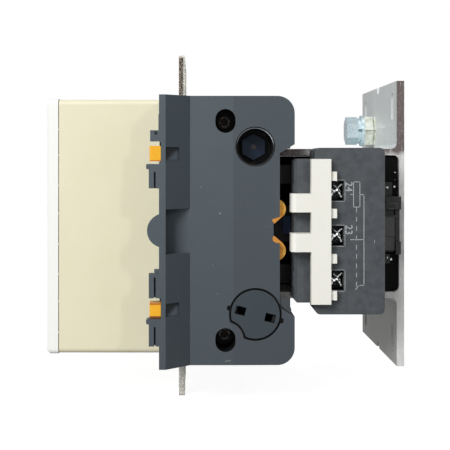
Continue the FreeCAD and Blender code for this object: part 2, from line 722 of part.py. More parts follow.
def cut_support_openings(body):
    """Bolt and screw holes, the cap's recess, the rocker's gap and the latches' slots."""
    far = "support_face_x + 1"
    lower_bolt = "unit_mid - bolt_hole_span / 2"
    lower_screw = "unit_mid - screw_hole_span / 2"
    recess_floor = "cap_face_x - cap_thick - 0.1"
    recess_size = "cap_size + 2 * cap_gap"
    cut(body, "side", recess_floor, far, circle("bolt_y", lower_bolt, recess_size))
    for side, lean in (("-", "+"), ("+", "-")):
        lug = circle(f"bolt_y {side} ({recess_size}) / 2 * cos(cap_turn)",
                     f"{lower_bolt} {lean} ({recess_size}) / 2 * sin(cap_turn)", "cap_lug")
        cut(body, "side", recess_floor, far, lug)
    add(body, "side", "support_face_x - 7", "support_face_x - 0.1",
        circle("screw_y", lower_screw, "2 * cap_bite - 2 * cap_gap"))
    cut(body, "side", "support_face_x - bolt_hole_step_depth", far,
        circle("bolt_y", "unit_mid + bolt_hole_span / 2", "bolt_hole"))
    for sign in "+-":
        bolt_up = f"unit_mid {sign} bolt_hole_span / 2"
        screw_up = f"unit_mid {sign} screw_hole_span / 2"
        cut(body, "side", "support_floor_x", far,
            circle("bolt_y", bolt_up, "bolt_hole - 2 * bolt_hole_step"))
        cut(body, "side", "support_floor_x", far,
            slot("screw_y", screw_up, "screw_hole_width", "screw_hole_height"))
        cut(body, "side", "joint_x - 1", "support_floor_x + 1",
            circle("bolt_y", bolt_up, "side_bolt + 0.4"), circle("screw_y", screw_up, "side_screw + 0.4"))
        low, high = latch_room(sign, "latch_half + fit_gap")
        seat = rectangle("rim - 1", "latch_seat_y", low, high)
        cut(body, "side", "lip_x - latch_width_x - fit_gap", "lip_x + 1", seat)
        low, high = latch_room(sign, "latch_foot / 2 + fit_gap")
        neck = rectangle("rim", "latch_neck_y", low, high)
        cut(body, "side", "latch_centre_x - latch_foot / 2 - fit_gap",
            "latch_centre_x + latch_foot / 2 + fit_gap", neck)
        head = rectangle("latch_neck_y - 0.1", "latch_head_y + 0.1", low, high)
        cut(body, "side", "latch_centre_x - latch_head_width / 2 - fit_gap",
            "latch_centre_x + latch_head_width / 2 + fit_gap", head)
    gap = rectangle("support_rear - support_wall - 1", "support_rear + 1",
                    "unit_mid - rocker_room", "unit_mid + rocker_room")
    cut(body, "side", "rocker_left - fit_gap", "rocker_left + rocker_thick + fit_gap", gap)


def latch_room(sign, half):
    """Low and high places of a seat that leaves a latch its travel upwards."""
    latch_up = f"unit_mid {sign} latch_rise"
    return f"{latch_up} - ({half})", f"{latch_up} + {half} + latch_travel"


def make_blanking_cap():
    """Round cap pressed into the unused bolt hole, with two square holes for a pin wrench."""
    body = piece("blanking_cap")
    up = "unit_mid - bolt_hole_span / 2"
    add(body, "side", "cap_face_x - cap_thick", "cap_face_x", circle("bolt_y", up, "cap_size"))
    add(body, "side", "cap_face_x - cap_thick - 5", "cap_face_x - cap_thick",
        circle("bolt_y", up, "bolt_hole - 2 * bolt_hole_step - 0.2"))
    bite = circle("screw_y", "unit_mid - screw_hole_span / 2", "2 * cap_bite")
    cut(body, "side", "cap_face_x - cap_thick - 6", "cap_face_x + 1", bite)
    for sign, lean in (("-", "+"), ("+", "-")):
        middle_y = f"bolt_y {sign} cap_hole_reach * cos(cap_turn)"
        middle_z = f"{up} {lean} cap_hole_reach * sin(cap_turn)"
        corners = []
        for along, over in (("-", "-"), ("+", "-"), ("+", "+"), ("-", "+")):
            turned_y = f"({along} cap_hole_long * cos(cap_turn) {over} cap_hole_tall * sin(cap_turn)) / 2"
            turned_z = f"({'-' if along == '+' else '+'} cap_hole_long * sin(cap_turn)" \
                       f" {over} cap_hole_tall * cos(cap_turn)) / 2"
            corners.append((f"{middle_y} + {turned_y}", f"{middle_z} + {turned_z}"))
        cut(body, "side", "cap_face_x - cap_thick - 6", "cap_face_x + 1", corners)


def make_side_fasteners():
    """Hex bolts and cross-headed screws that clamp the side support to the pole housing."""
    bolts = piece("side_bolts")
    screws = piece("side_screws")
    for sign in "+-":
        bolt_up = f"unit_mid {sign} bolt_hole_span / 2"
        screw_up = f"unit_mid {sign} screw_hole_span / 2"
        add(bolts, "side", "support_floor_x", "support_floor_x + bolt_head_thick",
            hexagon("bolt_y", bolt_up, "bolt_head", 30))
        add(bolts, "side", "joint_x - 14", "support_floor_x", circle("bolt_y", bolt_up, "side_bolt - 0.1"))
        add(screws, "side", "support_floor_x", "support_floor_x + 3", circle("screw_y", screw_up, "screw_head"))
        add(screws, "side", "joint_x - 12", "support_floor_x",
            circle("screw_y", screw_up, "side_screw - 0.1"))
        for turn in (0, 1):
            wide, tall = (("3.6", "0.9"), ("0.9", "3.6"))[turn]
            cross = rectangle(f"screw_y - {wide} / 2", f"screw_y + {wide} / 2",
                              f"{screw_up} - {tall} / 2", f"{screw_up} + {tall} / 2")
            cut(screws, "side", "support_floor_x + 1.6", "support_floor_x + 4", cross)


def make_latches():
    """Amber slides on the lip that lock an auxiliary block; a headed foot runs in the lip's slot."""
    for name, sign in (("upper_latch", "+"), ("lower_latch", "-")):
        body = piece(name)
        up = f"unit_mid {sign} latch_rise"
        rear = "latch_seat_y - 0.1"
        low = f"{up} - latch_half"
        high = f"{up} + latch_half"
        add(body, "side", "lip_x - latch_width_x", "lip_x", rectangle("rim - latch_proud", rear, low, high))
        foot_low = f"{up} - latch_foot / 2"
        foot_high = f"{up} + latch_foot / 2"
        neck = rectangle(rear, "latch_neck_y", foot_low, foot_high)
        add(body, "side", "latch_centre_x - latch_foot / 2", "latch_centre_x + latch_foot / 2", neck)
        head = rectangle("latch_neck_y", "latch_head_y", foot_low, foot_high)
        add(body, "side", "latch_centre_x - latch_head_width / 2",
            "latch_centre_x + latch_head_width / 2", head)
        front = [("lip_x - latch_width_x", "rim - latch_proud"), ("lip_x", "rim - latch_proud")]
        dress_edges(body, "Fillet", "0.8", edges_along(2, front))


def make_coil_rocker():
    """Amber rocker on a pin behind the outer face; its two lobes reach over the coil's front."""
    body = piece("coil_rocker")
    right = "rocker_left + rocker_thick"
    web = [("rocker_y - 4", "unit_mid - 4"), ("rocker_y + 7", "unit_mid - rocker_lobe_span / 2 - 3.6"),
           ("rocker_y + 8.5", "unit_mid - rocker_lobe_span / 2"), ("rocker_y + 8.5", "unit_mid - 5.5"),
           ("rocker_y + 8", "unit_mid - 2.4"), ("rocker_y + 8", "unit_mid + 2.4"),
           ("rocker_y + 8.5", "unit_mid + 5.5"), ("rocker_y + 8.5", "unit_mid + rocker_lobe_span / 2"),
           ("rocker_y + 7", "unit_mid + rocker_lobe_span / 2 + 3.6"), ("rocker_y - 4", "unit_mid + 4")]
    add(body, "side", "rocker_left", right, web)
    for sign in "+-":
        lobe = circle("support_rear + rocker_proud - rocker_lobe",
                      f"unit_mid {sign} rocker_lobe_span / 2", "2 * rocker_lobe")
        add(body, "side", "rocker_left", right, lobe)
    cut(body, "side", "rocker_left - 1", f"{right} + 1", circle("rocker_y", "unit_mid", "rocker_pin + 0.1"))


def make_terminal_bars():
    """Copper bars through the upper and lower walls, each with a bolt hole and a fixing screw."""
    for name, sign in (("line_bar_", "+"), ("load_bar_", "-")):
        for number_word, pole in POLES:
            body = piece(name + number_word)
            ends = [f"unit_mid {sign} bar_inner_span / 2", f"unit_mid {sign} bar_span / 2"]
            low, high = ends if sign == "+" else ends[::-1]
            across = rectangle(f"{pole} - bar_width / 2", f"{pole} + bar_width / 2", low, high)
            add(body, "front", "bar_front", "bar_rear", across)
            cut(body, "front", "bar_front - 1", "bar_rear + 1",
                circle(pole, f"unit_mid {sign} bar_hole_up", "bar_hole"),
                circle(pole, f"unit_mid {sign} bar_screw_span / 2", "bar_screw + 0.5"))
            corners = [(f"{pole} - bar_width / 2", ends[1]), (f"{pole} + bar_width / 2", ends[1])]
            dress_edges(body, "Fillet", "1.5", edges_along(1, corners))


def make_contact_parts():
    """Silver tips on the bars, the screws that hold the bars, and the three bridges with their tips."""
    for name, sign in (("line_tips", "+"), ("load_tips", "-")):
        body = piece(name)
        for number_word, pole in POLES:
            up = f"unit_mid {sign} tip_span / 2"
            add(body, "front", "fixed_tip_face", "bar_front", tip_outline(pole, up))
    screws = piece("bar_screws")
    for number_word, pole in POLES:
        for sign in "+-":
            up = f"unit_mid {sign} bar_screw_span / 2"
            add(screws, "front", "bar_front - 3", "bar_front", circle(pole, up, "bar_screw + 3.5"))
            add(screws, "front", "bar_front", "bar_rear + 11", circle(pole, up, "bar_screw - 0.1"))
    for number_word, pole in POLES:
        bridge = piece("bridge_" + number_word)
        span = rectangle(f"{pole} - bridge_width / 2", f"{pole} + bridge_width / 2",
                         "unit_mid - bridge_length / 2", "unit_mid + bridge_length / 2")
        add(bridge, "front", "bridge_front", "bridge_rear", span)
        ends = [("bridge_front", "unit_mid - bridge_length / 2"),
                ("bridge_front", "unit_mid + bridge_length / 2")]
        dress_edges(bridge, "Chamfer", "1.2", edges_along(0, ends))
        tips = piece("bridge_tips_" + number_word)
        for sign in "+-":
            up = f"unit_mid {sign} tip_span / 2"
            add(tips, "front", "bridge_rear", "moving_tip_face", tip_outline(pole, up))


def tip_outline(pole, up):
    return rectangle(f"{pole} - tip_width / 2", f"{pole} + tip_width / 2",
                     f"{up} - tip_length / 2", f"{up} + tip_length / 2")


def make_contact_carrier():
    """Moulded beam with one stem for each pole; each stem has a window for its bridge and spring."""
    body = piece("contact_carrier")
    beam = rectangle("beam_left", "beam_right", "unit_mid - beam_height / 2", "unit_mid + beam_height / 2")
    add(body, "front", "beam_front", "beam_rear", beam)
    for number_word, pole in POLES:
        stem = rectangle(f"{pole} - stem_width / 2", f"{pole} + stem_width / 2",
                         "unit_mid - stem_height / 2", "unit_mid + stem_height / 2")
        add(body, "front", "stem_front", "beam_front", stem)
        half = "stem_width / 2 - stem_cheek"
        window = rectangle(f"{pole} - ({half})", f"{pole} + {half}",
                           "stem_head_rear", "bridge_rear + kiss_gap")
        cut(body, "top", "unit_mid - stem_height / 2 - 1", "unit_mid + stem_height / 2 + 1", window)
    for across in ("beam_left + return_spring_inset", "beam_right - return_spring_inset"):
        cut(body, "front", "beam_rear - return_spring_hole", "beam_rear",
            circle(across, "unit_mid", "return_spring_bore"))
    for low in ("magnet_left - fit_gap - 4", "magnet_right + fit_gap"):
        lug = rectangle("beam_rear - 0.5", "beam_rear + 9", "unit_mid - 7", "unit_mid + 7")
        add(body, "side", low, f"{low} + 4", lug)
        cut(body, "side", f"{low} - 1", f"{low} + 5",
            circle("beam_rear + armature_back / 2", "unit_mid", "armature_pin + 0.1"))


def magnet_outline(back, leg_root, leg_tip):
    """The E shape that the yoke and the armature share."""
    inner = "centre_leg / 2"
    outer = "window_out"
    edge = "magnet_height / 2"
    return [(back, f"unit_mid - {edge}"), (leg_tip, f"unit_mid - {edge}"), (leg_tip, f"unit_mid - ({outer})"),
            (leg_root, f"unit_mid - ({outer})"), (leg_root, f"unit_mid - {inner}"),
            (leg_tip, f"unit_mid - {inner}"), (leg_tip, f"unit_mid + {inner}"),
            (leg_root, f"unit_mid + {inner}"), (leg_root, f"unit_mid + {outer}"),
            (leg_tip, f"unit_mid + {outer}"), (leg_tip, f"unit_mid + {edge}"), (back, f"unit_mid + {edge}")]


def make_magnet():
    """Laminated yoke on rubber pads, its two copper shading rings, and the armature with its pin."""
    yoke = piece("magnet_yoke")
    add(yoke, "side", "magnet_left", "magnet_right",
        magnet_outline("yoke_rear", "yoke_rear - yoke_back", "yoke_face"))
    rings = piece("shading_rings")
    for sign in "+-":
        middle = f"unit_mid {sign} (magnet_height / 2 - outer_leg / 2)"
        outside = rectangle("magnet_left + 4", "magnet_right - 4", f"{middle} - outer_leg * 0.36",
                            f"{middle} + outer_leg * 0.36")
        inside = rectangle("magnet_left + 4 + shading_ring", "magnet_right - 4 - shading_ring",
                           f"{middle} - outer_leg * 0.36 + shading_ring",
                           f"{middle} + outer_leg * 0.36 - shading_ring")
        cut(yoke, "front", "yoke_face", "yoke_face + 2.5", outside, inside)
        add(rings, "front", "yoke_face + 0.1", "yoke_face + 2.5", outside, inside)
    pads = piece("yoke_pads")
    for sign in "+-":
        middle = f"unit_mid {sign} magnet_height / 3"
        pad = rectangle("magnet_left", "magnet_right", f"{middle} - 6", f"{middle} + 6")
        add(pads, "front", "yoke_rear", "-base_web", pad)
    armature = piece("armature")
    add(armature, "side", "magnet_left", "magnet_right",
        magnet_outline("beam_rear", "beam_rear + armature_back", "armature_face"))
    hole = circle("beam_rear + armature_back / 2", "unit_mid", "armature_pin + 0.1")
    cut(armature, "side", "magnet_left - 1", "magnet_right + 1", hole)
    pin = piece("armature_pin")
    add(pin, "side", "magnet_left - fit_gap - 4", "magnet_right + fit_gap + 4",
        circle("beam_rear + armature_back / 2", "unit_mid", "armature_pin"))


def make_coil():
    """Moulded bobbin with a terminal head at the side, and the copper winding between its flanges."""
    body = piece("coil_body")
    hole_x = "magnet_stack / 2 + 0.5"
    hole_z = "centre_leg / 2 + 0.5"
    full_x = "magnet_stack / 2 + coil_build"
    full_z = "window_out - 0.5"

    def around(half_x, half_z):
        return rectangle(f"magnet_x - ({half_x})", f"magnet_x + {half_x}",
                         f"unit_mid - ({half_z})", f"unit_mid + {half_z}")
    hole = around(hole_x, hole_z)
    add(body, "front", "coil_front", "coil_rear", around(f"{hole_x} + coil_wall", f"{hole_z} + coil_wall"))
    add(body, "front", "coil_front", "coil_front + coil_flange", around(full_x, full_z))
    add(body, "front", "coil_rear - coil_flange", "coil_rear", around(full_x, full_z))
    neck = rectangle("coil_front", "coil_rear", "unit_mid - neck_height / 2", "unit_mid + neck_height / 2")
    add(body, "side", "magnet_right + coil_build - coil_flange", "head_left + 1", neck)
    head = rectangle("head_front", "head_back", "unit_mid - head_height / 2", "unit_mid + head_height / 2")
    add(body, "side", "head_left", "head_face_x", head)
    corners = [(y, f"unit_mid {sign} head_height / 2") for y in ("head_front", "head_back") for sign in "+-"]
    dress_edges(body, "Fillet", "head_round", edges_along(0, corners))
    nose = rectangle("nose_front", "head_front + 3", "unit_mid - nose_height / 2",
                     "unit_mid + nose_height / 2")
    add(body, "side", "head_left", "nose_face_x", nose)
    corners = [("nose_front", f"unit_mid {sign} nose_height / 2") for sign in "+-"]
    dress_edges(body, "Chamfer", "nose_chamfer", edges_along(0, corners))
    dress_edges(body, "Chamfer", "nose_chamfer", edges_along(2, [("nose_face_x", "nose_front")]))
    cut(body, "front", "coil_front - 1", "coil_rear + 1", hole)
    plates = piece("coil_terminal_plates")
    screws = piece("coil_terminal_screws")
    for index in range(3):
        up = f"unit_mid + terminal_rise - {index} * terminal_pitch"
        pocket = rectangle("-pocket_rear - pocket_length", "-pocket_rear",
                           f"{up} - pocket_height / 2", f"{up} + pocket_height / 2")
        cut(body, "side", "pocket_floor_x", "head_face_x + 1", pocket)
        entry = rectangle("pocket_floor_x + 1.4", "pocket_floor_x + 6.4", f"{up} - 3.4", f"{up} + 3.4")
        cut(body, "front", "nose_front", "-pocket_rear - pocket_length + 1", entry)
        middle_y = "-pocket_rear - pocket_height / 2"
        cut(body, "side", "pocket_floor_x - 6", "pocket_floor_x + 1", circle(middle_y, up, "4"))
        plate = rectangle("-pocket_rear - pocket_height - 3", "-pocket_rear - 0.3",
                          f"{up} - pocket_height / 2 + 0.3", f"{up} + pocket_height / 2 - 0.3")
        add(plates, "side", "pocket_floor_x", "pocket_floor_x + 1.2", plate)
        cut(plates, "side", "pocket_floor_x - 1", "pocket_floor_x + 2", circle(middle_y, up, "4.2"))
        head = circle(middle_y, up, "terminal_screw")
        add(screws, "side", "pocket_floor_x + 1.2", "pocket_floor_x + 4.4", head)
        add(screws, "side", "pocket_floor_x - 5", "pocket_floor_x + 1.2", circle(middle_y, up, "3.9"))
        for wide, tall in (("4.6", "0.9"), ("0.9", "4.6")):
            cross = rectangle(f"{middle_y} - {wide} / 2", f"{middle_y} + {wide} / 2",
                              f"{up} - {tall} / 2", f"{up} + {tall} / 2")
            cut(screws, "side", "pocket_floor_x + 2.8", "pocket_floor_x + 5", cross)
    winding = piece("coil_winding")
    add(winding, "front", "coil_front + coil_flange + 0.1", "coil_rear - coil_flange - 0.1",
        around(f"{full_x} - coil_flange", f"{full_z} - 0.6"))
    cut(winding, "front", "coil_front", "coil_rear",
        around(f"{hole_x} + coil_wall + 0.1", f"{hole_z} + coil_wall + 0.1"))


def make_terminal_cover():
    """White finger guard clipped over the coil's screws: a bar with two tabs and four teeth."""
    body = piece("terminal_cover")
    right = "head_face_x + cover_thick"
    front = "-cover_rear - cover_width"
    bar = rectangle(front, "-cover_rear", "unit_mid - cover_height / 2", "unit_mid + cover_height / 2")
    add(body, "side", "head_face_x", right, bar)
    for up in ("unit_mid + 13", "unit_mid - 5"):
        tab = rectangle(f"{front} - cover_tab_reach", f"{front} + 1",
                        f"{up} - cover_tab_height / 2", f"{up} + cover_tab_height / 2")
        add(body, "side", "nose_face_x + 0.2", right, tab)
    for up in ("unit_mid + 25.1", "unit_mid + 8.2", "unit_mid - 12.4", "unit_mid - 29.1"):
        tooth = rectangle("-cover_rear - 1", "-cover_rear + cover_tooth_reach",
                          f"{up} - cover_tooth_height / 2", f"{up} + cover_tooth_height / 2")
        add(body, "side", "head_face_x", f"{right} - 1.5", tooth)
    tips = edges_along(2, [(right, f"{front} - cover_tab_reach")])
    dress_edges(body, "Fillet", "2.4", tips)


def make_coil_clip():
    """Black moulded clip that locks the coil's head to the end of the base's web."""
    body = piece("coil_clip")
    left = "base_width / 2"
    right = "base_width / 2 + clip_thick"
    outline = [("head_back", "unit_mid - clip_height / 2 + 2"), ("-clip_hook + 2", "unit_mid - clip_height / 2 + 2"),
               ("-clip_hook + 2", "unit_mid - clip_height / 2"), ("-base_web + 1.2", "unit_mid - clip_height / 2"),
               ("-base_web + 1.2", "unit_mid - clip_height / 2 + clip_hook"),
               ("-base_web - 1.6", "unit_mid - clip_height / 2 + clip_hook"),
               ("-base_web - 1.6", "unit_mid + clip_height / 2 - clip_hook"),
               ("-base_web + 1.2", "unit_mid + clip_height / 2 - clip_hook"),
               ("-base_web + 1.2", "unit_mid + clip_height / 2"), ("-clip_hook + 2", "unit_mid + clip_height / 2"),
               ("-clip_hook + 2", "unit_mid + clip_height / 2 - 2"),
               ("head_back", "unit_mid + clip_height / 2 - 2")]
    add(body, "side", left, right, outline)
    for up in ("unit_mid + 5.6", "unit_mid - 4"):
        groove = rectangle("head_back + 2", "-base_web - 3", f"{up} - 3.4", f"{up} + 3.4")
        cut(body, "side", f"{right} - 3", f"{right} + 1", groove)
    foot = rectangle("-base_web - 2", "-base_web", "unit_mid - 6", "unit_mid + 6")
    add(body, "side", f"{left} - 20", f"{left} + 0.5", foot)


def make_arc_chamber():
    """Cream heat-resistant moulding with one room for each pole and vents in its ends."""
    body = piece("arc_chamber")
    outline = rectangle("chamber_front", "rim", "chamber_bottom", "chamber_top")
    add(body, "side", "chamber_left", "joint_x", outline)
    corners = [(across, up) for across in ("chamber_left", "joint_x") for up in ("chamber_top", "chamber_bottom")]
    dress_edges(body, "Fillet", "chamber_round", edges_along(1, corners))
    for number_word, pole in POLES:
        half = "pole_pitch / 2 - chamber_wall / 2"
        room = rectangle(f"{pole} - ({half})", f"{pole} + {half}",
                         "chamber_bottom + chamber_wall", "chamber_top - chamber_wall")
        cut(body, "front", "chamber_front + chamber_wall", "rim", room)
    bosses = [circle(across, up, "front_screw") for across, up in FRONT_SCREWS]
    add(body, "front", "chamber_front", "rim", *bosses)
    cut(body, "front", "chamber_front - 1", "rim + 1",
        *[circle(across, up, "front_screw_thread + 0.4") for across, up in FRONT_SCREWS])
    for number_word, pole in POLES:
        for low, high in (("chamber_top - chamber_wall - 1", "chamber_top + 1"),
                          ("chamber_bottom - 1", "chamber_bottom + chamber_wall + 1")):
            start = f"{pole} - 2 * vent_pitch"
            vent = rectangle(f"{start} - vent_width / 2", f"{start} + vent_width / 2",
                             "chamber_front + 10", "chamber_front + 10 + vent_length")
            feature = cut(body, "top", low, high, vent)
            repeat(body, feature, "X_Axis", "4 * vent_pitch", 5)


def make_chamber_cap():
    """White front plate of the arc chamber, with four captive screws in counterbores."""
    body = piece("chamber_cap")
    left = "chamber_left"
    low = "chamber_bottom - cap_overhang"
    high = "chamber_top + cap_overhang"
    outline = rectangle("front_face", "chamber_front", low, high)
    add(body, "side", left, "joint_x + cap_overhang", outline)
    corners = [(across, up) for across in (left, "joint_x + cap_overhang") for up in (low, high)]
    dress_edges(body, "Fillet", "chamber_round", edges_along(1, corners))
    front = [("front_face", up) for up in (low, high)]
    dress_edges(body, "Chamfer", "1.4", edges_along(0, front))
    label = rectangle(f"{left} + 9", "joint_x - 9", "unit_mid - 17", "unit_mid + 17")
    cut(body, "front", "front_face", "front_face + 0.8", label)
    cut(body, "front", "front_face", "front_face + 3.8",
        *[circle(across, up, "front_screw + 1") for across, up in FRONT_SCREWS])
    cut(body, "front", "front_face + 3", "chamber_front + 1",
        *[circle(across, up, "front_screw_thread + 0.4") for across, up in FRONT_SCREWS])
    screws = piece("chamber_screws")
    heads = [circle(across, up, "front_screw") for across, up in FRONT_SCREWS]
    add(screws, "front", "front_face + 0.8", "front_face + 3.8", *heads)
    shanks = [circle(across, up, "front_screw_thread - 0.1") for across, up in FRONT_SCREWS]
    add(screws, "front", "front_face + 3.8", "rim + 7", *shanks)
    slots = [rectangle(f"{across} - 3.6", f"{across} + 3.6", f"{up} - 0.6", f"{up} + 0.6")
             for across, up in FRONT_SCREWS]
    cut(screws, "front", "front_face", "front_face + 2", *slots)


def make_splitter_plates():
    """Steel plates that break up the arc, in two stacks for each pole."""
    for number_word, pole in POLES:
        body = piece("splitter_plates_" + number_word)
        half = "pole_pitch / 2 - chamber_wall / 2 - fit_gap"
        stacks = []
        for sign, edge in (("+", "chamber_top - chamber_wall - fit_gap"),
                           ("-", "chamber_bottom + chamber_wall + fit_gap")):
            inner = f"{edge} {'-' if sign == '+' else '+'} plate_height"
            low, high = (inner, edge) if sign == "+" else (edge, inner)
            stacks.append(rectangle(f"{pole} - ({half})", f"{pole} + {half}", low, high))
        first = "rim - 6"
        plate = add(body, "front", f"{first} - plate_thick", first, *stacks)
        pattern = repeat(body, plate, "Y_Axis", "8 * plate_pitch", 9)
        pattern.Reversed = True


def make_frame_screws():
    """Countersunk screws through the base's legs into the corner blocks of the pole housing."""
    body = piece("frame_screws")
    heads = [circle(across, "frame_screw_y", "frame_screw_head") for across in FRAME_SCREWS]
    shanks = [circle(across, "frame_screw_y", "frame_screw - 0.1") for across in FRAME_SCREWS]
    sunk = "channel_in + frame_screw_sink"
    add(body, "top", "channel_in", sunk, *heads)
    add(body, "top", f"-({sunk})", "-channel_in", *heads)
    dress_edges(body, "Chamfer", "frame_screw_sink - 0.05", rims(2, (sunk, f"-({sunk})"), "frame_screw_head"))
    add(body, "top", f"{sunk} - 0.1", "channel_in + frame_screw_grip", *shanks)
    add(body, "top", "-channel_in - frame_screw_grip", f"0.1 - ({sunk})", *shanks)


def make_earth_screw():
    """Earth terminal on the upper flange: screw, spring washer, washer and nut."""
    nut = piece("earth_nut")
    nut_front = "flange_front - earth_nut_thick"
    add(nut, "front", nut_front, "flange_front", hexagon("earth_x", "earth_z", "earth_nut"))
    washer = piece("earth_washer")
    washer_front = f"{nut_front} - earth_washer_thick"
    add(washer, "front", washer_front, nut_front, circle("earth_x", "earth_z", "earth_washer"))
    ring = piece("earth_spring_washer")
    ring_front = f"{washer_front} - earth_spring_thick"
    add(ring, "front", ring_front, washer_front, circle("earth_x", "earth_z", "earth_thread + 5.6"))
    for body, low, high in ((nut, nut_front, "flange_front"), (washer, washer_front, nut_front),
                            (ring, ring_front, washer_front)):
        cut(body, "front", f"{low} - 1", f"{high} + 1", circle("earth_x", "earth_z", "earth_thread + 0.2"))
    gap = rectangle("earth_x", "earth_x + earth_thread + 4", "earth_z - 0.7", "earth_z + 0.7")
    cut(ring, "front", f"{ring_front} - 1", f"{washer_front} + 1", gap)
    screw = piece("earth_screw")
    head_front = f"{ring_front} - earth_head_thick"
    add(screw, "front", head_front, ring_front, hexagon("earth_x", "earth_z", "earth_head", 30))
    add(screw, "front", ring_front, "-0.6", circle("earth_x", "earth_z", "earth_thread - 0.1"))


def make_spring(name, across, rear, length, size, wire, turns):
    """A coil spring along Y, swept round a helix that starts at its rear end."""
    helix = doc.addObject("Part::Helix", name + "_path")
    helix.setExpression("Radius", formula(f"({size} - {wire}) / 2"))
    helix.setExpression("Height", formula(f"({length}) - {wire}"))
    helix.setExpression("Pitch", formula(f"(({length}) - {wire}) / {turns}"))
    section = doc.addObject("Part::RegularPolygon", name + "_section")
    section.Polygon = 6
    section.setExpression("Circumradius", formula(f"{wire} / 2"))
    section.Placement = FreeCAD.Placement(FreeCAD.Vector(0, 0, 0),
                                          FreeCAD.Rotation(FreeCAD.Vector(1, 0, 0), 90))
    section.setExpression("Placement.Base.x", formula(f"({size} - {wire}) / 2"))
    spring = doc.addObject("Part::Sweep", name)
    spring.Sections = [section]
    spring.Spine = (helix, ["Edge1"])
    spring.Solid = True
    spring.Frenet = True
    spring.Label = name
    spring.Placement = FreeCAD.Placement(FreeCAD.Vector(0, 0, 0),
                                         FreeCAD.Rotation(FreeCAD.Vector(1, 0, 0), 90))
    spring.setExpression("Placement.Base.x", formula(across))
    spring.setExpression("Placement.Base.y", formula(f"({rear}) - {wire} / 2"))
    spring.setExpression("Placement.Base.z", formula("unit_mid"))
    pieces.append(spring)


def make_springs():
    """Two return springs behind the beam and one contact spring in front of each bridge."""
    for name, across in (("return_spring_left", "beam_left + return_spring_inset"),
                         ("return_spring_right", "beam_right - return_spring_inset")):
        make_spring(name, across, "floor_front", "floor_front - beam_rear + return_spring_hole",
                    "return_spring_size", "return_spring_wire", 6)
    for number_word, pole in POLES:
        make_spring("contact_spring_" + number_word, pole, "bridge_front", "contact_spring_length",
                    "contact_spring_size", "contact_spring_wire", 4)


make_mounting_base()
make_pole_housing()
make_side_support()
make_blanking_cap()
make_side_fasteners()
make_latches()
make_coil_rocker()
make_terminal_bars()
make_contact_parts()
make_contact_carrier()
make_magnet()
make_coil()
make_terminal_cover()
make_coil_clip()
make_arc_chamber()
make_chamber_cap()
make_splitter_plates()
make_frame_screws()
make_earth_screw()
make_springs()
doc.recompute()


def check_document():
    """Stop if anything in the document failed, or if a pocket cut nothing."""
    for item in doc.Objects:
        if "Invalid" in item.State or "Error" in item.State:
            raise RuntimeError(f"{item.Label} failed: {item.State}")
        if item.TypeId == "PartDesign::Pocket":
            if item.Shape.Volume > item.BaseFeature.Shape.Volume - 0.01:
                raise RuntimeError(f"{item.Label} cuts nothing")
    for body in pieces:
        if body.Shape.isNull() or not body.Shape.isValid():
            raise RuntimeError(f"{body.Label} has no valid shape")


check_document()
for body in pieces:
    body.Shape.exportStep(f"parts/{body.Label}.step")
    box = body.Shape.BoundBox
    print(body.Label, len(body.Shape.Solids), round(body.Shape.Volume), box)
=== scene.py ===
import math

import bmesh
import bpy
from mathutils import Matrix, Vector


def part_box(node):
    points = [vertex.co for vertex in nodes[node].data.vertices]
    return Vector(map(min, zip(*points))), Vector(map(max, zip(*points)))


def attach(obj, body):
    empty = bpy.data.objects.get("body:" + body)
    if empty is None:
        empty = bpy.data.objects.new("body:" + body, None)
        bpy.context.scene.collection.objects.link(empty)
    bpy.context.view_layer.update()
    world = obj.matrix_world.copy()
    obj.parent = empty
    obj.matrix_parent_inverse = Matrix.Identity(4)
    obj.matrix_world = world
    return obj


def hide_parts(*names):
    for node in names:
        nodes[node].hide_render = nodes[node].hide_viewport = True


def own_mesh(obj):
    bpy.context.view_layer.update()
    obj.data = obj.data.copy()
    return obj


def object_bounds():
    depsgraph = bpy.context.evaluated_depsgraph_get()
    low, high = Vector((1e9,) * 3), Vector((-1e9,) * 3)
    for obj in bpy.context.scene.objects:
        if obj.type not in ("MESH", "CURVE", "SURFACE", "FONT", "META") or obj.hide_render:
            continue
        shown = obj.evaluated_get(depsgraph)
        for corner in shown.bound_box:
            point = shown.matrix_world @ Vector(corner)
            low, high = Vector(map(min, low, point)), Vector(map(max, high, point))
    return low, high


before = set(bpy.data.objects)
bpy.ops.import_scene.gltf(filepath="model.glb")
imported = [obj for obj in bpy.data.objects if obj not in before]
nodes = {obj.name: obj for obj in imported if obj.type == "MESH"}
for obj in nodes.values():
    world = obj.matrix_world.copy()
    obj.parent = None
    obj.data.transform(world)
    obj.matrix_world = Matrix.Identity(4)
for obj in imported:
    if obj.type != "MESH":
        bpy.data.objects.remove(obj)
cad_low, cad_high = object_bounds()
scene = bpy.context.scene

# Camera, light and floor: the object is seen square on from its coil side, a little below
# the lens, on a plain pale ground as in a product photograph.
PHOTO_SIZE = 450
CAMERA_SPOT = Vector((0.5639, -0.1006, 0.0304))
FOCUS_PIXELS = 1070
CENTRE_PIXEL = (194, 160)
SENSOR_WIDTH = 36
SURROUND_DIFFUSE, SURROUND_GLOSSY, SURROUND_SEEN = 0.22, 0.45, 1.0
LIGHT_AIM = Vector((0, -0.08, 0))
FLOOR_DROP = 0.0003
FLOOR_REACH = 3
FLOOR_GLOW = 0.92
# Each light: name, place in metres, side in metres, power in watts.
STUDIO_LIGHTS = (
    ("key light above the front", (1.3, -0.82, 0.82), 0.68, 19.2),
    ("soft light above", (0.25, 0.1, 1.3), 0.8, 2.0),
    ("small light behind the camera", (1.0, 0.28, 0.42), 0.05, 0.9),
    ("low reflector", (0.75, -0.55, -0.04), 0.25, 0.9),
)

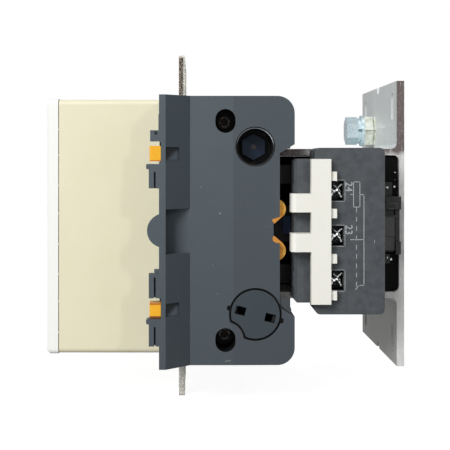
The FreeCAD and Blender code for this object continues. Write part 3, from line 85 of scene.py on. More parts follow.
camera_data = bpy.data.cameras.new("camera")
camera_data.sensor_width = SENSOR_WIDTH
camera_data.lens = SENSOR_WIDTH * FOCUS_PIXELS / PHOTO_SIZE
camera_data.shift_x = (PHOTO_SIZE / 2 - CENTRE_PIXEL[0]) / PHOTO_SIZE
camera_data.shift_y = (CENTRE_PIXEL[1] - PHOTO_SIZE / 2) / PHOTO_SIZE
camera = bpy.data.objects.new("camera", camera_data)
scene.collection.objects.link(camera)
camera.location = CAMERA_SPOT
camera.rotation_mode = "QUATERNION"
camera.rotation_quaternion = Vector((-1, 0, 0)).to_track_quat("-Z", "Y")
scene.camera = camera

scene.view_settings.view_transform = "Standard"
studio = bpy.data.worlds.new("studio")
studio.use_nodes = True
surround = studio.node_tree.nodes["Background"]
ray = studio.node_tree.nodes.new("ShaderNodeLightPath")
gloss_strength = studio.node_tree.nodes.new("ShaderNodeMapRange")
gloss_strength.inputs["To Min"].default_value = SURROUND_DIFFUSE
gloss_strength.inputs["To Max"].default_value = SURROUND_GLOSSY
studio.node_tree.links.new(ray.outputs["Is Glossy Ray"], gloss_strength.inputs["Value"])
strength = studio.node_tree.nodes.new("ShaderNodeMapRange")
strength.inputs["To Max"].default_value = SURROUND_SEEN
studio.node_tree.links.new(ray.outputs["Is Camera Ray"], strength.inputs["Value"])
studio.node_tree.links.new(gloss_strength.outputs["Result"], strength.inputs["To Min"])
studio.node_tree.links.new(strength.outputs["Result"], surround.inputs["Strength"])
surround.inputs["Color"].default_value = (1, 1, 1, 1)
scene.world = studio
for light_name, spot, size, power in STUDIO_LIGHTS:
    lamp = bpy.data.lights.new(light_name, "AREA")
    lamp.size = size
    lamp.energy = power
    light = bpy.data.objects.new(light_name, lamp)
    light.location = spot
    light.rotation_mode = "QUATERNION"
    light.rotation_quaternion = (LIGHT_AIM - Vector(spot)).to_track_quat("-Z", "Y")
    scene.collection.objects.link(light)

floor_mesh = bpy.data.meshes.new("floor")
floor_up = cad_low.z - FLOOR_DROP
floor_ways = ((-1, -1), (1, -1), (1, 1), (-1, 1))
floor_corners = [(x * FLOOR_REACH, y * FLOOR_REACH, floor_up) for x, y in floor_ways]
floor_mesh.from_pydata(floor_corners, [], [(0, 1, 2, 3)])
floor = bpy.data.objects.new("floor", floor_mesh)
scene.collection.objects.link(floor)
floor_paint = bpy.data.materials.new("floor paint")
floor_paint.use_nodes = True
floor_shader = floor_paint.node_tree.nodes["Principled BSDF"]
floor_shader.inputs["Base Color"].default_value = (0.4, 0.4, 0.4, 1)
floor_shader.inputs["Roughness"].default_value = 0.9
floor_shader.inputs["Emission Color"].default_value = (1, 1, 1, 1)
floor_shader.inputs["Emission Strength"].default_value = FLOOR_GLOW
floor_mesh.materials.append(floor_paint)
floor.visible_diffuse = False
floor.visible_glossy = False


# Mounting base: an aluminium extrusion with two legs and two slotted flanges. It is sawn to
# length, so its two ends show saw marks, and the upper end has gone brown.
def paint(red, green, blue):
    """A colour seen on a screen, as the light values that a shader takes."""
    def light(level):
        share = level / 255
        return share / 12.92 if share <= 0.04045 else ((share + 0.055) / 1.055) ** 2.4
    return (light(red), light(green), light(blue), 1.0)


class Finish:
    """A material in the making, with the coordinates of the part that its patterns lie on."""

    def __init__(self, name, roughness, metallic=0.0):
        self.material = bpy.data.materials.new(name)
        self.material.use_nodes = True
        self.tree = self.material.node_tree
        self.shader = self.tree.nodes["Principled BSDF"]
        self.shader.inputs["Roughness"].default_value = roughness
        self.shader.inputs["Metallic"].default_value = metallic
        self.place = self.tree.nodes.new("ShaderNodeTexCoord").outputs["Object"]
        self.normal = None

    def put(self, socket, value):
        """Link a socket, or set it where the value is a number or a colour."""
        if isinstance(value, bpy.types.NodeSocket):
            self.tree.links.new(value, socket)
        else:
            socket.default_value = value

    def axis(self, name):
        """Distance along X, Y or Z in metres."""
        split = self.tree.nodes.new("ShaderNodeSeparateXYZ")
        self.put(split.inputs[0], self.place)
        return split.outputs[name]

    def sum(self, operation, first, second=0.0):
        """One step of arithmetic."""
        step = self.tree.nodes.new("ShaderNodeMath")
        step.operation = operation
        self.put(step.inputs[0], first)
        self.put(step.inputs[1], second)
        return step.outputs[0]

    def ease(self, value, low, high):
        """0 below low, 1 above high, with a soft change between them."""
        step = self.tree.nodes.new("ShaderNodeMapRange")
        step.interpolation_type = "SMOOTHSTEP"
        self.put(step.inputs["Value"], value)
        step.inputs["From Min"].default_value = low
        step.inputs["From Max"].default_value = high
        return step.outputs["Result"]

    def near(self, across, up):
        """Distance in metres from a line along X."""
        flat = self.tree.nodes.new("ShaderNodeMapping")
        self.put(flat.inputs["Vector"], self.place)
        flat.inputs["Scale"].default_value = (0, 1, 1)
        reach = self.tree.nodes.new("ShaderNodeVectorMath")
        reach.operation = "DISTANCE"
        self.put(reach.inputs[0], flat.outputs["Vector"])
        reach.inputs[1].default_value = (0, across, up)
        return reach.outputs["Value"]

    def inside(self, value, limit, soft=0.0002):
        """1 where a value is under a limit, 0 above it."""
        return self.sum("SUBTRACT", 1.0, self.ease(value, limit - soft, limit + soft))

    def cloud(self, size, detail=3.0, stretch=(1, 1, 1)):
        """Cloudy noise whose features are about size metres across."""
        turn = self.tree.nodes.new("ShaderNodeMapping")
        self.put(turn.inputs["Vector"], self.place)
        turn.inputs["Scale"].default_value = stretch
        noise = self.tree.nodes.new("ShaderNodeTexNoise")
        self.put(noise.inputs["Vector"], turn.outputs["Vector"])
        noise.inputs["Scale"].default_value = 1 / size
        noise.inputs["Detail"].default_value = detail
        return noise.outputs["Fac"]

    def mix(self, share, first, second):
        """Two colours mixed by a share."""
        blend = self.tree.nodes.new("ShaderNodeMix")
        blend.data_type = "RGBA"
        self.put(blend.inputs["Factor"], share)
        self.put(blend.inputs[6], first)
        self.put(blend.inputs[7], second)
        return blend.outputs[2]

    def colour(self, value):
        self.put(self.shader.inputs["Base Color"], value)

    def rough(self, share, low, high):
        """Roughness that changes from low to high with a pattern."""
        step = self.tree.nodes.new("ShaderNodeMapRange")
        self.put(step.inputs["Value"], share)
        step.inputs["To Min"].default_value = low
        step.inputs["To Max"].default_value = high
        self.put(self.shader.inputs["Roughness"], step.outputs["Result"])

    def relief(self, height, depth):
        """Raise the surface by a pattern, depth metres high."""
        bump = self.tree.nodes.new("ShaderNodeBump")
        bump.inputs["Distance"].default_value = depth
        self.put(bump.inputs["Height"], height)
        if self.normal:
            self.put(bump.inputs["Normal"], self.normal)
        self.normal = bump.outputs["Normal"]
        self.put(self.shader.inputs["Normal"], self.normal)


def dress(finish, *names):
    """Give CAD nodes one finish."""
    for name in names:
        mesh = nodes[name].data
        for index in range(len(mesh.materials)):
            mesh.materials[index] = finish.material


LOW_SHADE_BELOW, LOW_SHADE_FULL = 0.028, 0.040
STAIN_STARTS, STAIN_FULL = 0.035, 0.040
LEG_STAIN_BEFORE = -0.046
base_end_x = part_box("mounting_base")[1].x
aluminium = Finish("extruded aluminium", 0.42, 0.2)
die_lines = aluminium.cloud(0.0007, 2, (0.04, 1, 1))
clouding = aluminium.cloud(0.007, 4, (1, 1, 0.35))
face_colour = aluminium.mix(clouding, paint(222, 226, 226), paint(252, 254, 253))
line_share = aluminium.sum("MULTIPLY", die_lines, 0.25)
face_colour = aluminium.mix(line_share, face_colour, paint(180, 186, 188))
# Painted shade: the base is coloured darker towards the bottom, where the coil's head shades the lower
# flange.
low_shade = aluminium.ease(aluminium.sum("MULTIPLY", aluminium.axis("Z"), -1), LOW_SHADE_BELOW, LOW_SHADE_FULL)
face_colour = aluminium.mix(aluminium.sum("MULTIPLY", low_shade, 0.62), face_colour, paint(158, 160, 150))
off_middle = aluminium.sum("ABSOLUTE", aluminium.axis("X"))
end_share = aluminium.ease(off_middle, base_end_x - 0.0005, base_end_x - 0.0001)
saw_marks = aluminium.cloud(0.0006, 3, (1, 1, 0.22))
chips = aluminium.ease(aluminium.cloud(0.0007, 5, (1, 1, 0.5)), 0.6, 0.68)
stained = aluminium.mix(saw_marks, paint(78, 66, 65), paint(134, 123, 121))
stained = aluminium.mix(aluminium.sum("MULTIPLY", chips, 0.7), stained, paint(205, 198, 194))
clean = aluminium.mix(saw_marks, paint(206, 206, 204), paint(253, 253, 251))
edge_drift = aluminium.sum("MULTIPLY", aluminium.cloud(0.005), 0.008)
stain_edge = aluminium.sum("ADD", aluminium.axis("Z"), edge_drift)
stain_share = aluminium.sum("MAXIMUM", aluminium.ease(stain_edge, STAIN_STARTS, STAIN_FULL),
                            aluminium.inside(aluminium.axis("Y"), LEG_STAIN_BEFORE, 0.006))
stain_share = aluminium.sum("MULTIPLY", stain_share, aluminium.ease(aluminium.axis("Z"), 0, 0.001))
end_colour = aluminium.mix(stain_share, clean, stained)
aluminium.colour(aluminium.mix(end_share, face_colour, end_colour))
aluminium.rough(clouding, 0.34, 0.52)
aluminium.relief(die_lines, 0.00004)
aluminium.relief(aluminium.sum("MULTIPLY", saw_marks, end_share), 0.00025)
dress(aluminium, "mounting_base")


# Magnet yoke and armature: E shaped stacks of riveted silicon steel sheets, on two rubber
# pads, with copper shading rings let into the faces of the outer legs.
SHEET_PITCH = 0.0007
laminated = Finish("stacked steel sheets", 0.38, 0.8)
sheet_turn = laminated.sum("MULTIPLY", laminated.axis("X"), 2 * math.pi / SHEET_PITCH)
sheet_wave = laminated.sum("SINE", sheet_turn)
sheet_share = laminated.ease(sheet_wave, -0.6, 0.9)
laminated.colour(laminated.mix(sheet_share, paint(88, 88, 92), paint(150, 151, 154)))
laminated.relief(sheet_share, 0.00008)
dress(laminated, "magnet_yoke", "armature")

rubber = Finish("black rubber", 0.85)
rubber_grain = rubber.cloud(0.0006)
rubber.colour(rubber.mix(rubber_grain, paint(26, 26, 27), paint(48, 48, 49)))
rubber.relief(rubber_grain, 0.0001)
dress(rubber, "yoke_pads")

copper = Finish("bare copper", 0.32, 1.0)
copper_tarnish = copper.cloud(0.004)
copper.colour(copper.mix(copper_tarnish, paint(168, 98, 66), paint(214, 140, 104)))
copper.rough(copper_tarnish, 0.25, 0.45)
dress(copper, "shading_rings", "bridge_1", "bridge_2", "bridge_3")


# Return springs, contact springs and armature pin: drawn spring steel wire and a ground pin.
CARRIER_STROKE, BRIDGE_STROKE = 0.0085, 0.0025
spring_steel = Finish("drawn spring steel", 0.3, 1.0)
draw_marks = spring_steel.cloud(0.0008)
spring_steel.colour(spring_steel.mix(draw_marks, paint(130, 132, 136), paint(182, 184, 188)))
dress(spring_steel, "return_spring_left", "return_spring_right", "contact_spring_1", "contact_spring_2",
      "contact_spring_3", "armature_pin")
for spring, joint, stroke in (("return_spring_left", "carrier_slide", CARRIER_STROKE),
                              ("return_spring_right", "carrier_slide", CARRIER_STROKE),
                              ("contact_spring_1", "bridge_slide_1", BRIDGE_STROKE),
                              ("contact_spring_2", "bridge_slide_2", BRIDGE_STROKE),
                              ("contact_spring_3", "bridge_slide_3", BRIDGE_STROKE)):
    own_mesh(nodes[spring])


# Coil: a bobbin and its terminal head in one dark glass-filled moulding, mottled where the
# glass comes to the surface, and wound with enamelled copper wire.
POCKET_HIGH_X = 0.0724
POCKET_FRONT, POCKET_REAR = 0.0452, -0.0316
POCKET_REACH = 0.028
coil_plastic = Finish("glass-filled coil moulding", 0.5)
coil_mottle = coil_plastic.ease(coil_plastic.cloud(0.0032, 5), 0.3, 0.7)
coil_flow = coil_plastic.cloud(0.014, 3)
coil_colour = coil_plastic.mix(coil_mottle, paint(67, 72, 76), paint(80, 85, 89))
flow_share = coil_plastic.sum("MULTIPLY", coil_flow, 0.4)
coil_colour = coil_plastic.mix(flow_share, coil_colour, paint(76, 80, 85))
coil_speck = coil_plastic.ease(coil_plastic.cloud(0.0009, 5), 0.72, 0.75)
speck_share = coil_plastic.sum("MULTIPLY", coil_speck, 0.5)
coil_colour = coil_plastic.mix(speck_share, coil_colour, paint(126, 130, 132))
# Painted shade: the insides of the three terminal pockets are coloured near black.
pocket_shade = coil_plastic.inside(coil_plastic.axis("X"), POCKET_HIGH_X)
for limit in (coil_plastic.inside(coil_plastic.axis("Y"), POCKET_REAR),
              coil_plastic.inside(coil_plastic.sum("MULTIPLY", coil_plastic.axis("Y"), -1), POCKET_FRONT),
              coil_plastic.inside(coil_plastic.near(-0.0385, -0.004), POCKET_REACH)):
    pocket_shade = coil_plastic.sum("MULTIPLY", pocket_shade, limit)
coil_plastic.colour(coil_plastic.mix(pocket_shade, coil_colour, paint(12, 12, 13)))
coil_plastic.rough(coil_mottle, 0.38, 0.6)
coil_plastic.relief(coil_plastic.cloud(0.0004), 0.00005)
dress(coil_plastic, "coil_body")

enamel = Finish("enamelled copper wire", 0.28, 0.6)
enamel_tone = enamel.cloud(0.003, 2, (1, 4, 1))
enamel.colour(enamel.mix(enamel_tone, paint(120, 56, 30), paint(170, 92, 52)))
dress(enamel, "coil_winding")


# Zinc plated screws and washers, bluish where the plating is fresh. The clamp plates and screw heads deep
# in the coil's terminal pockets are coloured near black, which is painted shade.
zinc = Finish("blue zinc plating", 0.26, 0.55)
zinc_tone = zinc.cloud(0.0025, 4)
zinc.colour(zinc.mix(zinc_tone, paint(190, 218, 228), paint(236, 248, 252)))
zinc.rough(zinc_tone, 0.2, 0.38)
# Painted shade: the clamp plates in the terminal pockets are coloured near black.
pocket_shade_plate = Finish("clamp plate in painted shade", 0.3, 0.6)
plate_tone = pocket_shade_plate.cloud(0.0012, 4)
pocket_shade_plate.colour(pocket_shade_plate.mix(plate_tone, paint(14, 14, 15), paint(46, 47, 48)))
dress(pocket_shade_plate, "coil_terminal_plates")
# Painted shade: the screw heads in the pockets are near black, with paler scuffs.
pocket_shade_screw = Finish("scuffed screw head in painted shade", 0.3, 0.5)
scuffs = pocket_shade_screw.cloud(0.0011, 3)
pocket_shade_screw.colour(pocket_shade_screw.mix(pocket_shade_screw.ease(scuffs, 0.5, 0.7), paint(16, 17, 18), paint(110, 112, 114)))
pocket_shade_screw.relief(scuffs, 0.0004)
dress(pocket_shade_screw, "coil_terminal_screws")
# Painted glints: near-white strokes that also glow, for light caught on the terminal screws and in the
# clip's cavity.
glint_paint = Finish("painted glint", 0.22, 0.2)
glint_spots = glint_paint.cloud(0.0007, 3)
glint_colour = glint_paint.mix(glint_paint.ease(glint_spots, 0.4, 0.55), paint(110, 112, 114), paint(252, 253, 253))
glint_paint.colour(glint_colour)
glint_paint.put(glint_paint.shader.inputs["Emission Color"], glint_colour)
glint_paint.shader.inputs["Emission Strength"].default_value = 0.4
dress(zinc, "chamber_screws", "bar_screws", "frame_screws",
      "splitter_plates_1", "splitter_plates_2", "splitter_plates_3",
      "earth_screw", "earth_spring_washer", "earth_washer")


# Coil print: a thin light diagram on the head, of a wound coil with two ends and a switch,
# with two plain terminal numbers. Painted glints, bright glowing strokes, cross the three terminal
# screws.
class Print:
    """Thin raised ink on a face that looks along X."""

    def __init__(self, face_x, thick):
        self.shape = bmesh.new()
        self.low_x = face_x - 0.00002
        self.high_x = face_x + thick

    def line(self, start, end, width):
        """A straight stroke between two (Y, Z) points in millimetres."""
        first = Vector(start) / 1000
        last = Vector(end) / 1000
        along = (last - first).normalized()
        side = Vector((-along.y, along.x)) * width / 2000
        first = first - along * width / 2000
        last = last + along * width / 2000
        ring = [first - side, last - side, last + side, first + side]
        under = [self.shape.verts.new((self.low_x, y, z)) for y, z in ring]
        over = [self.shape.verts.new((self.high_x, y, z)) for y, z in ring]
        self.shape.faces.new(over)
        self.shape.faces.new(reversed(under))
        for index in range(4):
            nearby = (index + 1) % 4
            self.shape.faces.new((under[index], under[nearby], over[nearby], over[index]))

    def chain(self, points, width):
        for start, end in zip(points, points[1:]):
            self.line(start, end, width)

    def finish(self, name):
        mesh = bpy.data.meshes.new(name)
        bmesh.ops.recalc_face_normals(self.shape, faces=self.shape.faces)
        self.shape.to_mesh(mesh)
        self.shape.free()
        return show(name, mesh)


def show(name, mesh):
    """Put a mesh in the scene as an object at the origin."""
    piece = bpy.data.objects.new(name, mesh)
    scene.collection.objects.link(piece)
    return piece


def settle(piece, finish, body="frame"):
    """Give a piece its finish and the body that it rides on."""
    piece.data.materials.clear()
    piece.data.materials.append(finish.material)
    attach(piece, body)


ink = Finish("light printing ink", 0.6)
ink_wear = ink.cloud(0.0009, 4)
ink.colour(ink.mix(ink_wear, paint(158, 160, 162), paint(205, 206, 206)))

head_face_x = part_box("coil_body")[1].x
POCKETS_UP = (16.4, -4.2, -24.7)
LINE, THIN_LINE = 0.32, 0.2
diagram = Print(head_face_x, 0.00003)
diagram.chain([(-27.7, 8.9), (-27.7, 20.4), (-24.8, 20.4), (-24.8, 8.9), (-27.7, 8.9)], LINE)
diagram.line((-29.0, 14.6), (-27.7, 14.6), LINE)
diagram.chain([(-24.8, 14.6), (-22.95, 14.6), (-22.95, -26.9)], LINE)
diagram.line((-29.0, -6.0), (-22.95, -6.0), LINE)
diagram.chain([(-22.95, -26.9), (-25.3, -26.9), (-26.6, -28.6)], LINE)
for pocket_up in POCKETS_UP:
    rim_line = [(-37.8, pocket_up + 4.85), (-31.9, pocket_up + 4.85), (-31.6, pocket_up + 4.5),
                (-31.6, pocket_up - 4.5), (-31.9, pocket_up - 4.85), (-37.8, pocket_up - 4.85)]
    diagram.chain(rim_line, THIN_LINE)
diagram.line((-18.1, -6.2), (-18.1, -7.6), THIN_LINE)
settle(diagram.finish("coil_diagram"), ink)

# Painted glints over the three terminal screws.
GLINT_HEIGHT = 0.0003
glint_strokes = Print(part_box("coil_terminal_screws")[1].x, GLINT_HEIGHT)
for pocket_up in POCKETS_UP:
    glint_strokes.chain([(-36.9, pocket_up + 0.2), (-35.6, pocket_up - 0.5), (-34.4, pocket_up + 0.3)], 0.75)
    glint_strokes.chain([(-34.6, pocket_up + 0.4), (-33.2, pocket_up + 2.0), (-32.3, pocket_up + 2.7)], 0.5)
    glint_strokes.chain([(-34.4, pocket_up + 0.1), (-33.2, pocket_up - 1.5), (-32.5, pocket_up - 3.0)], 0.55)
    glint_strokes.line((-36.4, pocket_up - 1.2), (-36.9, pocket_up - 2.2), 0.6)
    glint_strokes.line((-35.9, pocket_up + 2.3), (-34.6, pocket_up + 1.3), 0.25)
    glint_strokes.line((-33.5, pocket_up + 0.4), (-32.8, pocket_up - 0.6), 0.2)
settle(glint_strokes.finish("terminal_screw_glints"), glint_paint)


def repeat_tree():
    """Nodes that set equal blocks along a straight line, each a little off its place."""
    tree = bpy.data.node_groups.new("blocks along a line", "GeometryNodeTree")
    face = tree.interface
    face.new_socket(name="Geometry", in_out="OUTPUT", socket_type="NodeSocketGeometry")
    wanted = (("Count", "NodeSocketInt"), ("Start", "NodeSocketVector"), ("Step", "NodeSocketVector"),
              ("Block", "NodeSocketVector"), ("Drift", "NodeSocketVector"), ("Seed", "NodeSocketInt"),
              ("Finish", "NodeSocketMaterial"))
    for title, kind in wanted:
        face.new_socket(name=title, in_out="INPUT", socket_type=kind)
    source = tree.nodes.new("NodeGroupInput")
    result = tree.nodes.new("NodeGroupOutput")
    row = tree.nodes.new("GeometryNodeMeshLine")
    block = tree.nodes.new("GeometryNodeMeshCube")
    chance = tree.nodes.new("FunctionNodeRandomValue")
    chance.data_type = "FLOAT_VECTOR"
    flip = tree.nodes.new("ShaderNodeVectorMath")
    flip.operation = "SCALE"
    flip.inputs["Scale"].default_value = -1
    shift = tree.nodes.new("GeometryNodeSetPosition")
    copies = tree.nodes.new("GeometryNodeInstanceOnPoints")
    real = tree.nodes.new("GeometryNodeRealizeInstances")
    coat = tree.nodes.new("GeometryNodeSetMaterial")
    join = tree.links.new
    join(source.outputs["Count"], row.inputs["Count"])
    join(source.outputs["Start"], row.inputs["Start Location"])
    join(source.outputs["Step"], row.inputs["Offset"])
    join(source.outputs["Block"], block.inputs["Size"])
    join(source.outputs["Drift"], flip.inputs[0])
    join(flip.outputs["Vector"], chance.inputs[0])
    join(source.outputs["Drift"], chance.inputs[1])
    join(source.outputs["Seed"], chance.inputs["Seed"])
    join(row.outputs["Mesh"], shift.inputs["Geometry"])
    join(chance.outputs[0], shift.inputs["Offset"])
    join(shift.outputs["Geometry"], copies.inputs["Points"])
    join(block.outputs["Mesh"], copies.inputs["Instance"])
    join(copies.outputs["Instances"], real.inputs["Geometry"])
    join(real.outputs["Geometry"], coat.inputs["Geometry"])
    join(source.outputs["Finish"], coat.inputs["Material"])
    join(coat.outputs["Geometry"], result.inputs["Geometry"])
    return tree


def grow(name, tree, **values):
    """Run a tree of geometry nodes with named inputs, and keep the result as a plain mesh."""
    piece = show(name, bpy.data.meshes.new(name))
    step = piece.modifiers.new(name, "NODES")
    step.node_group = tree
    for item in tree.interface.items_tree:
        if item.in_out == "INPUT" and item.name in values:
            step[item.identifier] = values[item.name]
    seen = piece.evaluated_get(bpy.context.evaluated_depsgraph_get())
    result = bpy.data.meshes.new_from_object(seen)
    piece.modifiers.clear()
    piece.data = result
    return piece


blocks = repeat_tree()
dashes = grow("coil_diagram_dashes", blocks, Count=9, Start=(head_face_x, -0.02635, 0.00755),
              Step=(0, 0, -0.00425), Block=(0.00006, 0.0003, 0.0021), Seed=1, Finish=ink.material)
settle(dashes, ink)


def number_plate(name, text, middle, height, face_x):
    """A plain number that reads downwards on a face that looks along X."""
    letter = bpy.data.curves.new(name, "FONT")
    letter.body = text
    letter.size = height
    letter.extrude = 0.00002
    letter.align_x = "CENTER"
    letter.align_y = "CENTER"
    holder = show(name + "_source", letter)
    seen = holder.evaluated_get(bpy.context.evaluated_depsgraph_get())
    mesh = bpy.data.meshes.new_from_object(seen)
    bpy.data.objects.remove(holder)
    turn = Matrix(((0, 0, 1), (0, 1, 0), (-1, 0, 0))).to_4x4()
    mesh.transform(Matrix.Translation((face_x, middle[0] / 1000, middle[1] / 1000)) @ turn)
    return show(name, mesh)


NUMBER_HEIGHT = 0.0046
for number, middle in (("24", (-29.95, 18.2)), ("23", (-29.95, -1.5))):
    plate = number_plate(f"coil_number_{number}", number, middle, NUMBER_HEIGHT, head_face_x)
    settle(plate, ink)


# Terminal cover: a white finger guard in one moulding, with two long hooks and four short
# ones, pressed over the three coil screws.
cover_white = Finish("white finger guard", 0.42)
cover_tone = cover_white.cloud(0.011, 3)
cover_white.colour(cover_white.mix(cover_tone, paint(252, 250, 238), paint(255, 254, 247)))
cover_white.shader.inputs["Subsurface Weight"].default_value = 0.06
cover_white.shader.inputs["Subsurface Radius"].default_value = (0.0012, 0.001, 0.0008)
cover_white.relief(cover_white.cloud(0.0009), 0.00003)
dress(cover_white, "terminal_cover")


# Coil clip: a black moulding that hooks the coil's head to the end of the base, its face coloured light
# grey as painted light and its edges paler as painted highlights, and the near-black plates that close
# the channel, whose black is painted shade.
def block_piece(name, blocks_mm, bevel):
    """One piece made of (low, high) blocks in millimetres, with its edges taken off."""
    shape = bmesh.new()
    for low, high in blocks_mm:
        made = bmesh.ops.create_cube(shape, size=1)["verts"]
        middle = (Vector(low) + Vector(high)) / 2000
        size = (Vector(high) - Vector(low)) / 1000
        for corner in made:
            corner.co = Vector(a * b for a, b in zip(corner.co, size)) + middle
    mesh = bpy.data.meshes.new(name)
    shape.to_mesh(mesh)
    shape.free()
    piece = show(name, mesh)
    step = piece.modifiers.new("edges", "BEVEL")
    step.width = bevel
    step.segments = 2
    return piece


# Painted shade: a near-black finish for the plates that close the channel.
shade_black = Finish("black moulding", 0.4)
black_tone = shade_black.cloud(0.002, 4)
shade_black.colour(shade_black.mix(black_tone, paint(2, 2, 3), paint(12, 12, 13)))
shade_black.rough(black_tone, 0.4, 0.6)
shade_black.shader.inputs["Specular IOR Level"].default_value = 0.12
clip_black = Finish("clip moulding", 0.42)
clip_tone = clip_black.cloud(0.002, 4)
clip_black.colour(clip_black.mix(clip_tone, paint(24, 24, 26), paint(42, 42, 43)))
# Painted light: the clip's face is coloured a much lighter grey than its black moulding.
clip_face_light = Finish("clip face with painted light", 0.5)
clip_face_light_tone = clip_face_light.cloud(0.0024, 5)
clip_face_light.colour(clip_face_light.mix(clip_face_light_tone, paint(80, 80, 81), paint(114, 114, 113)))
# Painted highlights: pale strips along the face's edges.
clip_edge_highlight = Finish("clip edge highlight", 0.5)
clip_edge_highlight.colour(clip_edge_highlight.mix(clip_edge_highlight.cloud(0.001), paint(96, 96, 97), paint(150, 150, 150)))

# The body's blocks: upper and lower hook, bar between them, foot, two ears, tongue.
clip = block_piece("coil_clip_body", [
    ((52.1, -10.5, 7.0), (60.0, -2.95, 13.2)),
    ((52.1, -5.6, -14.2), (60.0, -3.1, -8.0)),
    ((52.1, -5.6, -8.0), (58.6, -3.45, 7.0)),
    ((52.1, -12.6, -13.0), (57.4, -5.6, 12.8)),
    ((53.0, -12.6, 13.2), (55.4, -6.4, 19.8)),
    ((53.0, -12.6, -18.8), (55.2, -7.4, -14.2)),
    ((34.0, -4.5, -6.0), (52.6, -2.7, 6.0)),
], 0.0002)
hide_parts("coil_clip")
settle(clip, clip_black)
clip_face = block_piece("coil_clip_face", [
    ((57.3, -12.6, -12.2), (57.7, -5.1, -5.7)), ((57.3, -12.6, -5.2), (57.8, -5.2, 3.7)),
], 0.0001)
settle(clip_face, clip_face_light)
clip_edges = block_piece("coil_clip_edges", [
    ((57.3, -12.6, 3.85), (58.9, -4.6, 4.05)), ((57.3, -12.6, -5.45), (57.95, -5.0, -5.25)),
    ((57.3, -5.15, -5.2), (57.95, -5.0, 3.8)), ((59.9, -8.8, 9.85), (60.1, -5.0, 10.0)),
    ((59.9, -5.1, 7.6), (60.1, -4.95, 9.9)), ((59.9, -8.8, 7.4), (60.1, -6.2, 7.55)),
], 0.00005)
settle(clip_edges, clip_edge_highlight)
# Painted glints: small glowing blocks in the clip's dark cavity.
glints = block_piece("clip_cavity_glints", [
    ((55.1, -9.4, 17.0), (55.7, -8.3, 17.7)), ((54.4, -5.6, 17.3), (55.2, -4.9, 18.1)),
    ((54.9, -7.3, -17.2), (55.5, -6.5, -16.2)), ((54.6, -8.9, -16.4), (55.3, -8.4, -15.6)),
    ((50.9, -4.4, 24.2), (51.4, -4.1, 24.5)), ((50.9, -4.5, 20.9), (51.4, -4.2, 21.2)),
], 0.00012)
settle(glints, glint_paint)

# Painted shade: near-black plates that close the channel where its inside lies in shade.
plates = block_piece("channel_shade_plates", [
    ((48.4, -16.2, -32.4), (49.4, -2.6, 32.4)), ((-51.9, -60.6, -32.65), (-51.2, -2.6, 32.65)),
], 0.0002)
settle(plates, shade_black)


# Pole housing and side support: dark blue-grey thermoset mouldings with a fine sparked
# texture, lighter scuffs and a few pale specks from handling.
BOLT_ACROSS, BOLT_UP, CAP_UP = -0.0723, 0.0366, -0.0408
SCREW_ACROSS, SCREW_UP, LOW_SCREW_UP = -0.0861, 0.0484, -0.0526
FOLD_ACROSS, FACE_FALL = -0.0825, 0.0279
FACE_X, HOLES_START_X = 0.0706, 0.0468
BOLT_HOLE, CAP_HOLE, SCREW_HOLE = 0.0094, 0.0137, 0.0060
grey = Finish("blue-grey moulding", 0.55)
grey_grain = grey.cloud(0.0005, 2)
grey_flow = grey.cloud(0.018, 3)
grey_colour = grey.mix(grey_flow, paint(75, 86, 93), paint(84, 95, 102))
grey_colour = grey.mix(grey.sum("MULTIPLY", grey_grain, 0.5), grey_colour, paint(64, 73, 80))
# Painted shade: the face beyond the fold is coloured darker.
fold_shade = grey.ease(grey.axis("Y"), FOLD_ACROSS - 0.0002, FOLD_ACROSS + 0.0002)
fold_shade = grey.sum("MULTIPLY", fold_shade, 0.55)
grey_colour = grey.mix(fold_shade, grey_colour, paint(62, 70, 77))
low_down = grey.sum("MULTIPLY", grey.ease(grey.sum("MULTIPLY", grey.axis("Z"), -1), -0.05, 0.09), 0.55)
grey_colour = grey.mix(low_down, grey_colour, paint(62, 69, 75))
speck = grey.ease(grey.cloud(0.0011, 6), 0.735, 0.76)
grey_colour = grey.mix(grey.sum("MULTIPLY", speck, 0.5), grey_colour, paint(132, 138, 143))
past_fold = grey.sum("MAXIMUM", grey.sum("ADD", grey.axis("Y"), -FOLD_ACROSS), 0.0)
leaning = grey.sum("ADD", grey.axis("X"), grey.sum("MULTIPLY", past_fold, FACE_FALL))
below_face = grey.sum("MULTIPLY", grey.inside(leaning, FACE_X, 0.0001),
                      grey.ease(leaning, HOLES_START_X, HOLES_START_X + 0.0003))
# Painted shade: the insides of the bolt and screw holes are coloured near black.
for across, up, reach in ((BOLT_ACROSS, BOLT_UP, BOLT_HOLE), (BOLT_ACROSS, CAP_UP, CAP_HOLE),
                          (SCREW_ACROSS, SCREW_UP, SCREW_HOLE), (SCREW_ACROSS, LOW_SCREW_UP, SCREW_HOLE)):
    hole_shade = grey.sum("MULTIPLY", below_face, grey.inside(grey.near(across, up), reach))
    grey_colour = grey.mix(hole_shade, grey_colour, paint(10, 11, 13))
# Painted highlight: a pale arc on the upper rim inside the bolt hole.
RIM_GLINT_RADIUS = 0.0085
off_rim_glint = grey.sum("SUBTRACT", grey.near(BOLT_ACROSS, BOLT_UP), RIM_GLINT_RADIUS)
rim_glint = grey.inside(grey.sum("ABSOLUTE", off_rim_glint), 0.0002)
for limit in (grey.ease(grey.axis("Z"), BOLT_UP, BOLT_UP + 0.004),
              grey.ease(grey.axis("X"), 0.0683, 0.0685)):
    rim_glint = grey.sum("MULTIPLY", rim_glint, limit)
grey.colour(grey.mix(rim_glint, grey_colour, paint(210, 220, 226)))
grey.relief(grey_grain, 0.0001)
dress(grey, "pole_housing", "side_support", "contact_carrier")

cap_grey = Finish("blanking cap moulding", 0.5)
cap_grain = cap_grey.cloud(0.0006, 3)
cap_colour = cap_grey.mix(cap_grain, paint(47, 57, 63), paint(60, 70, 77))
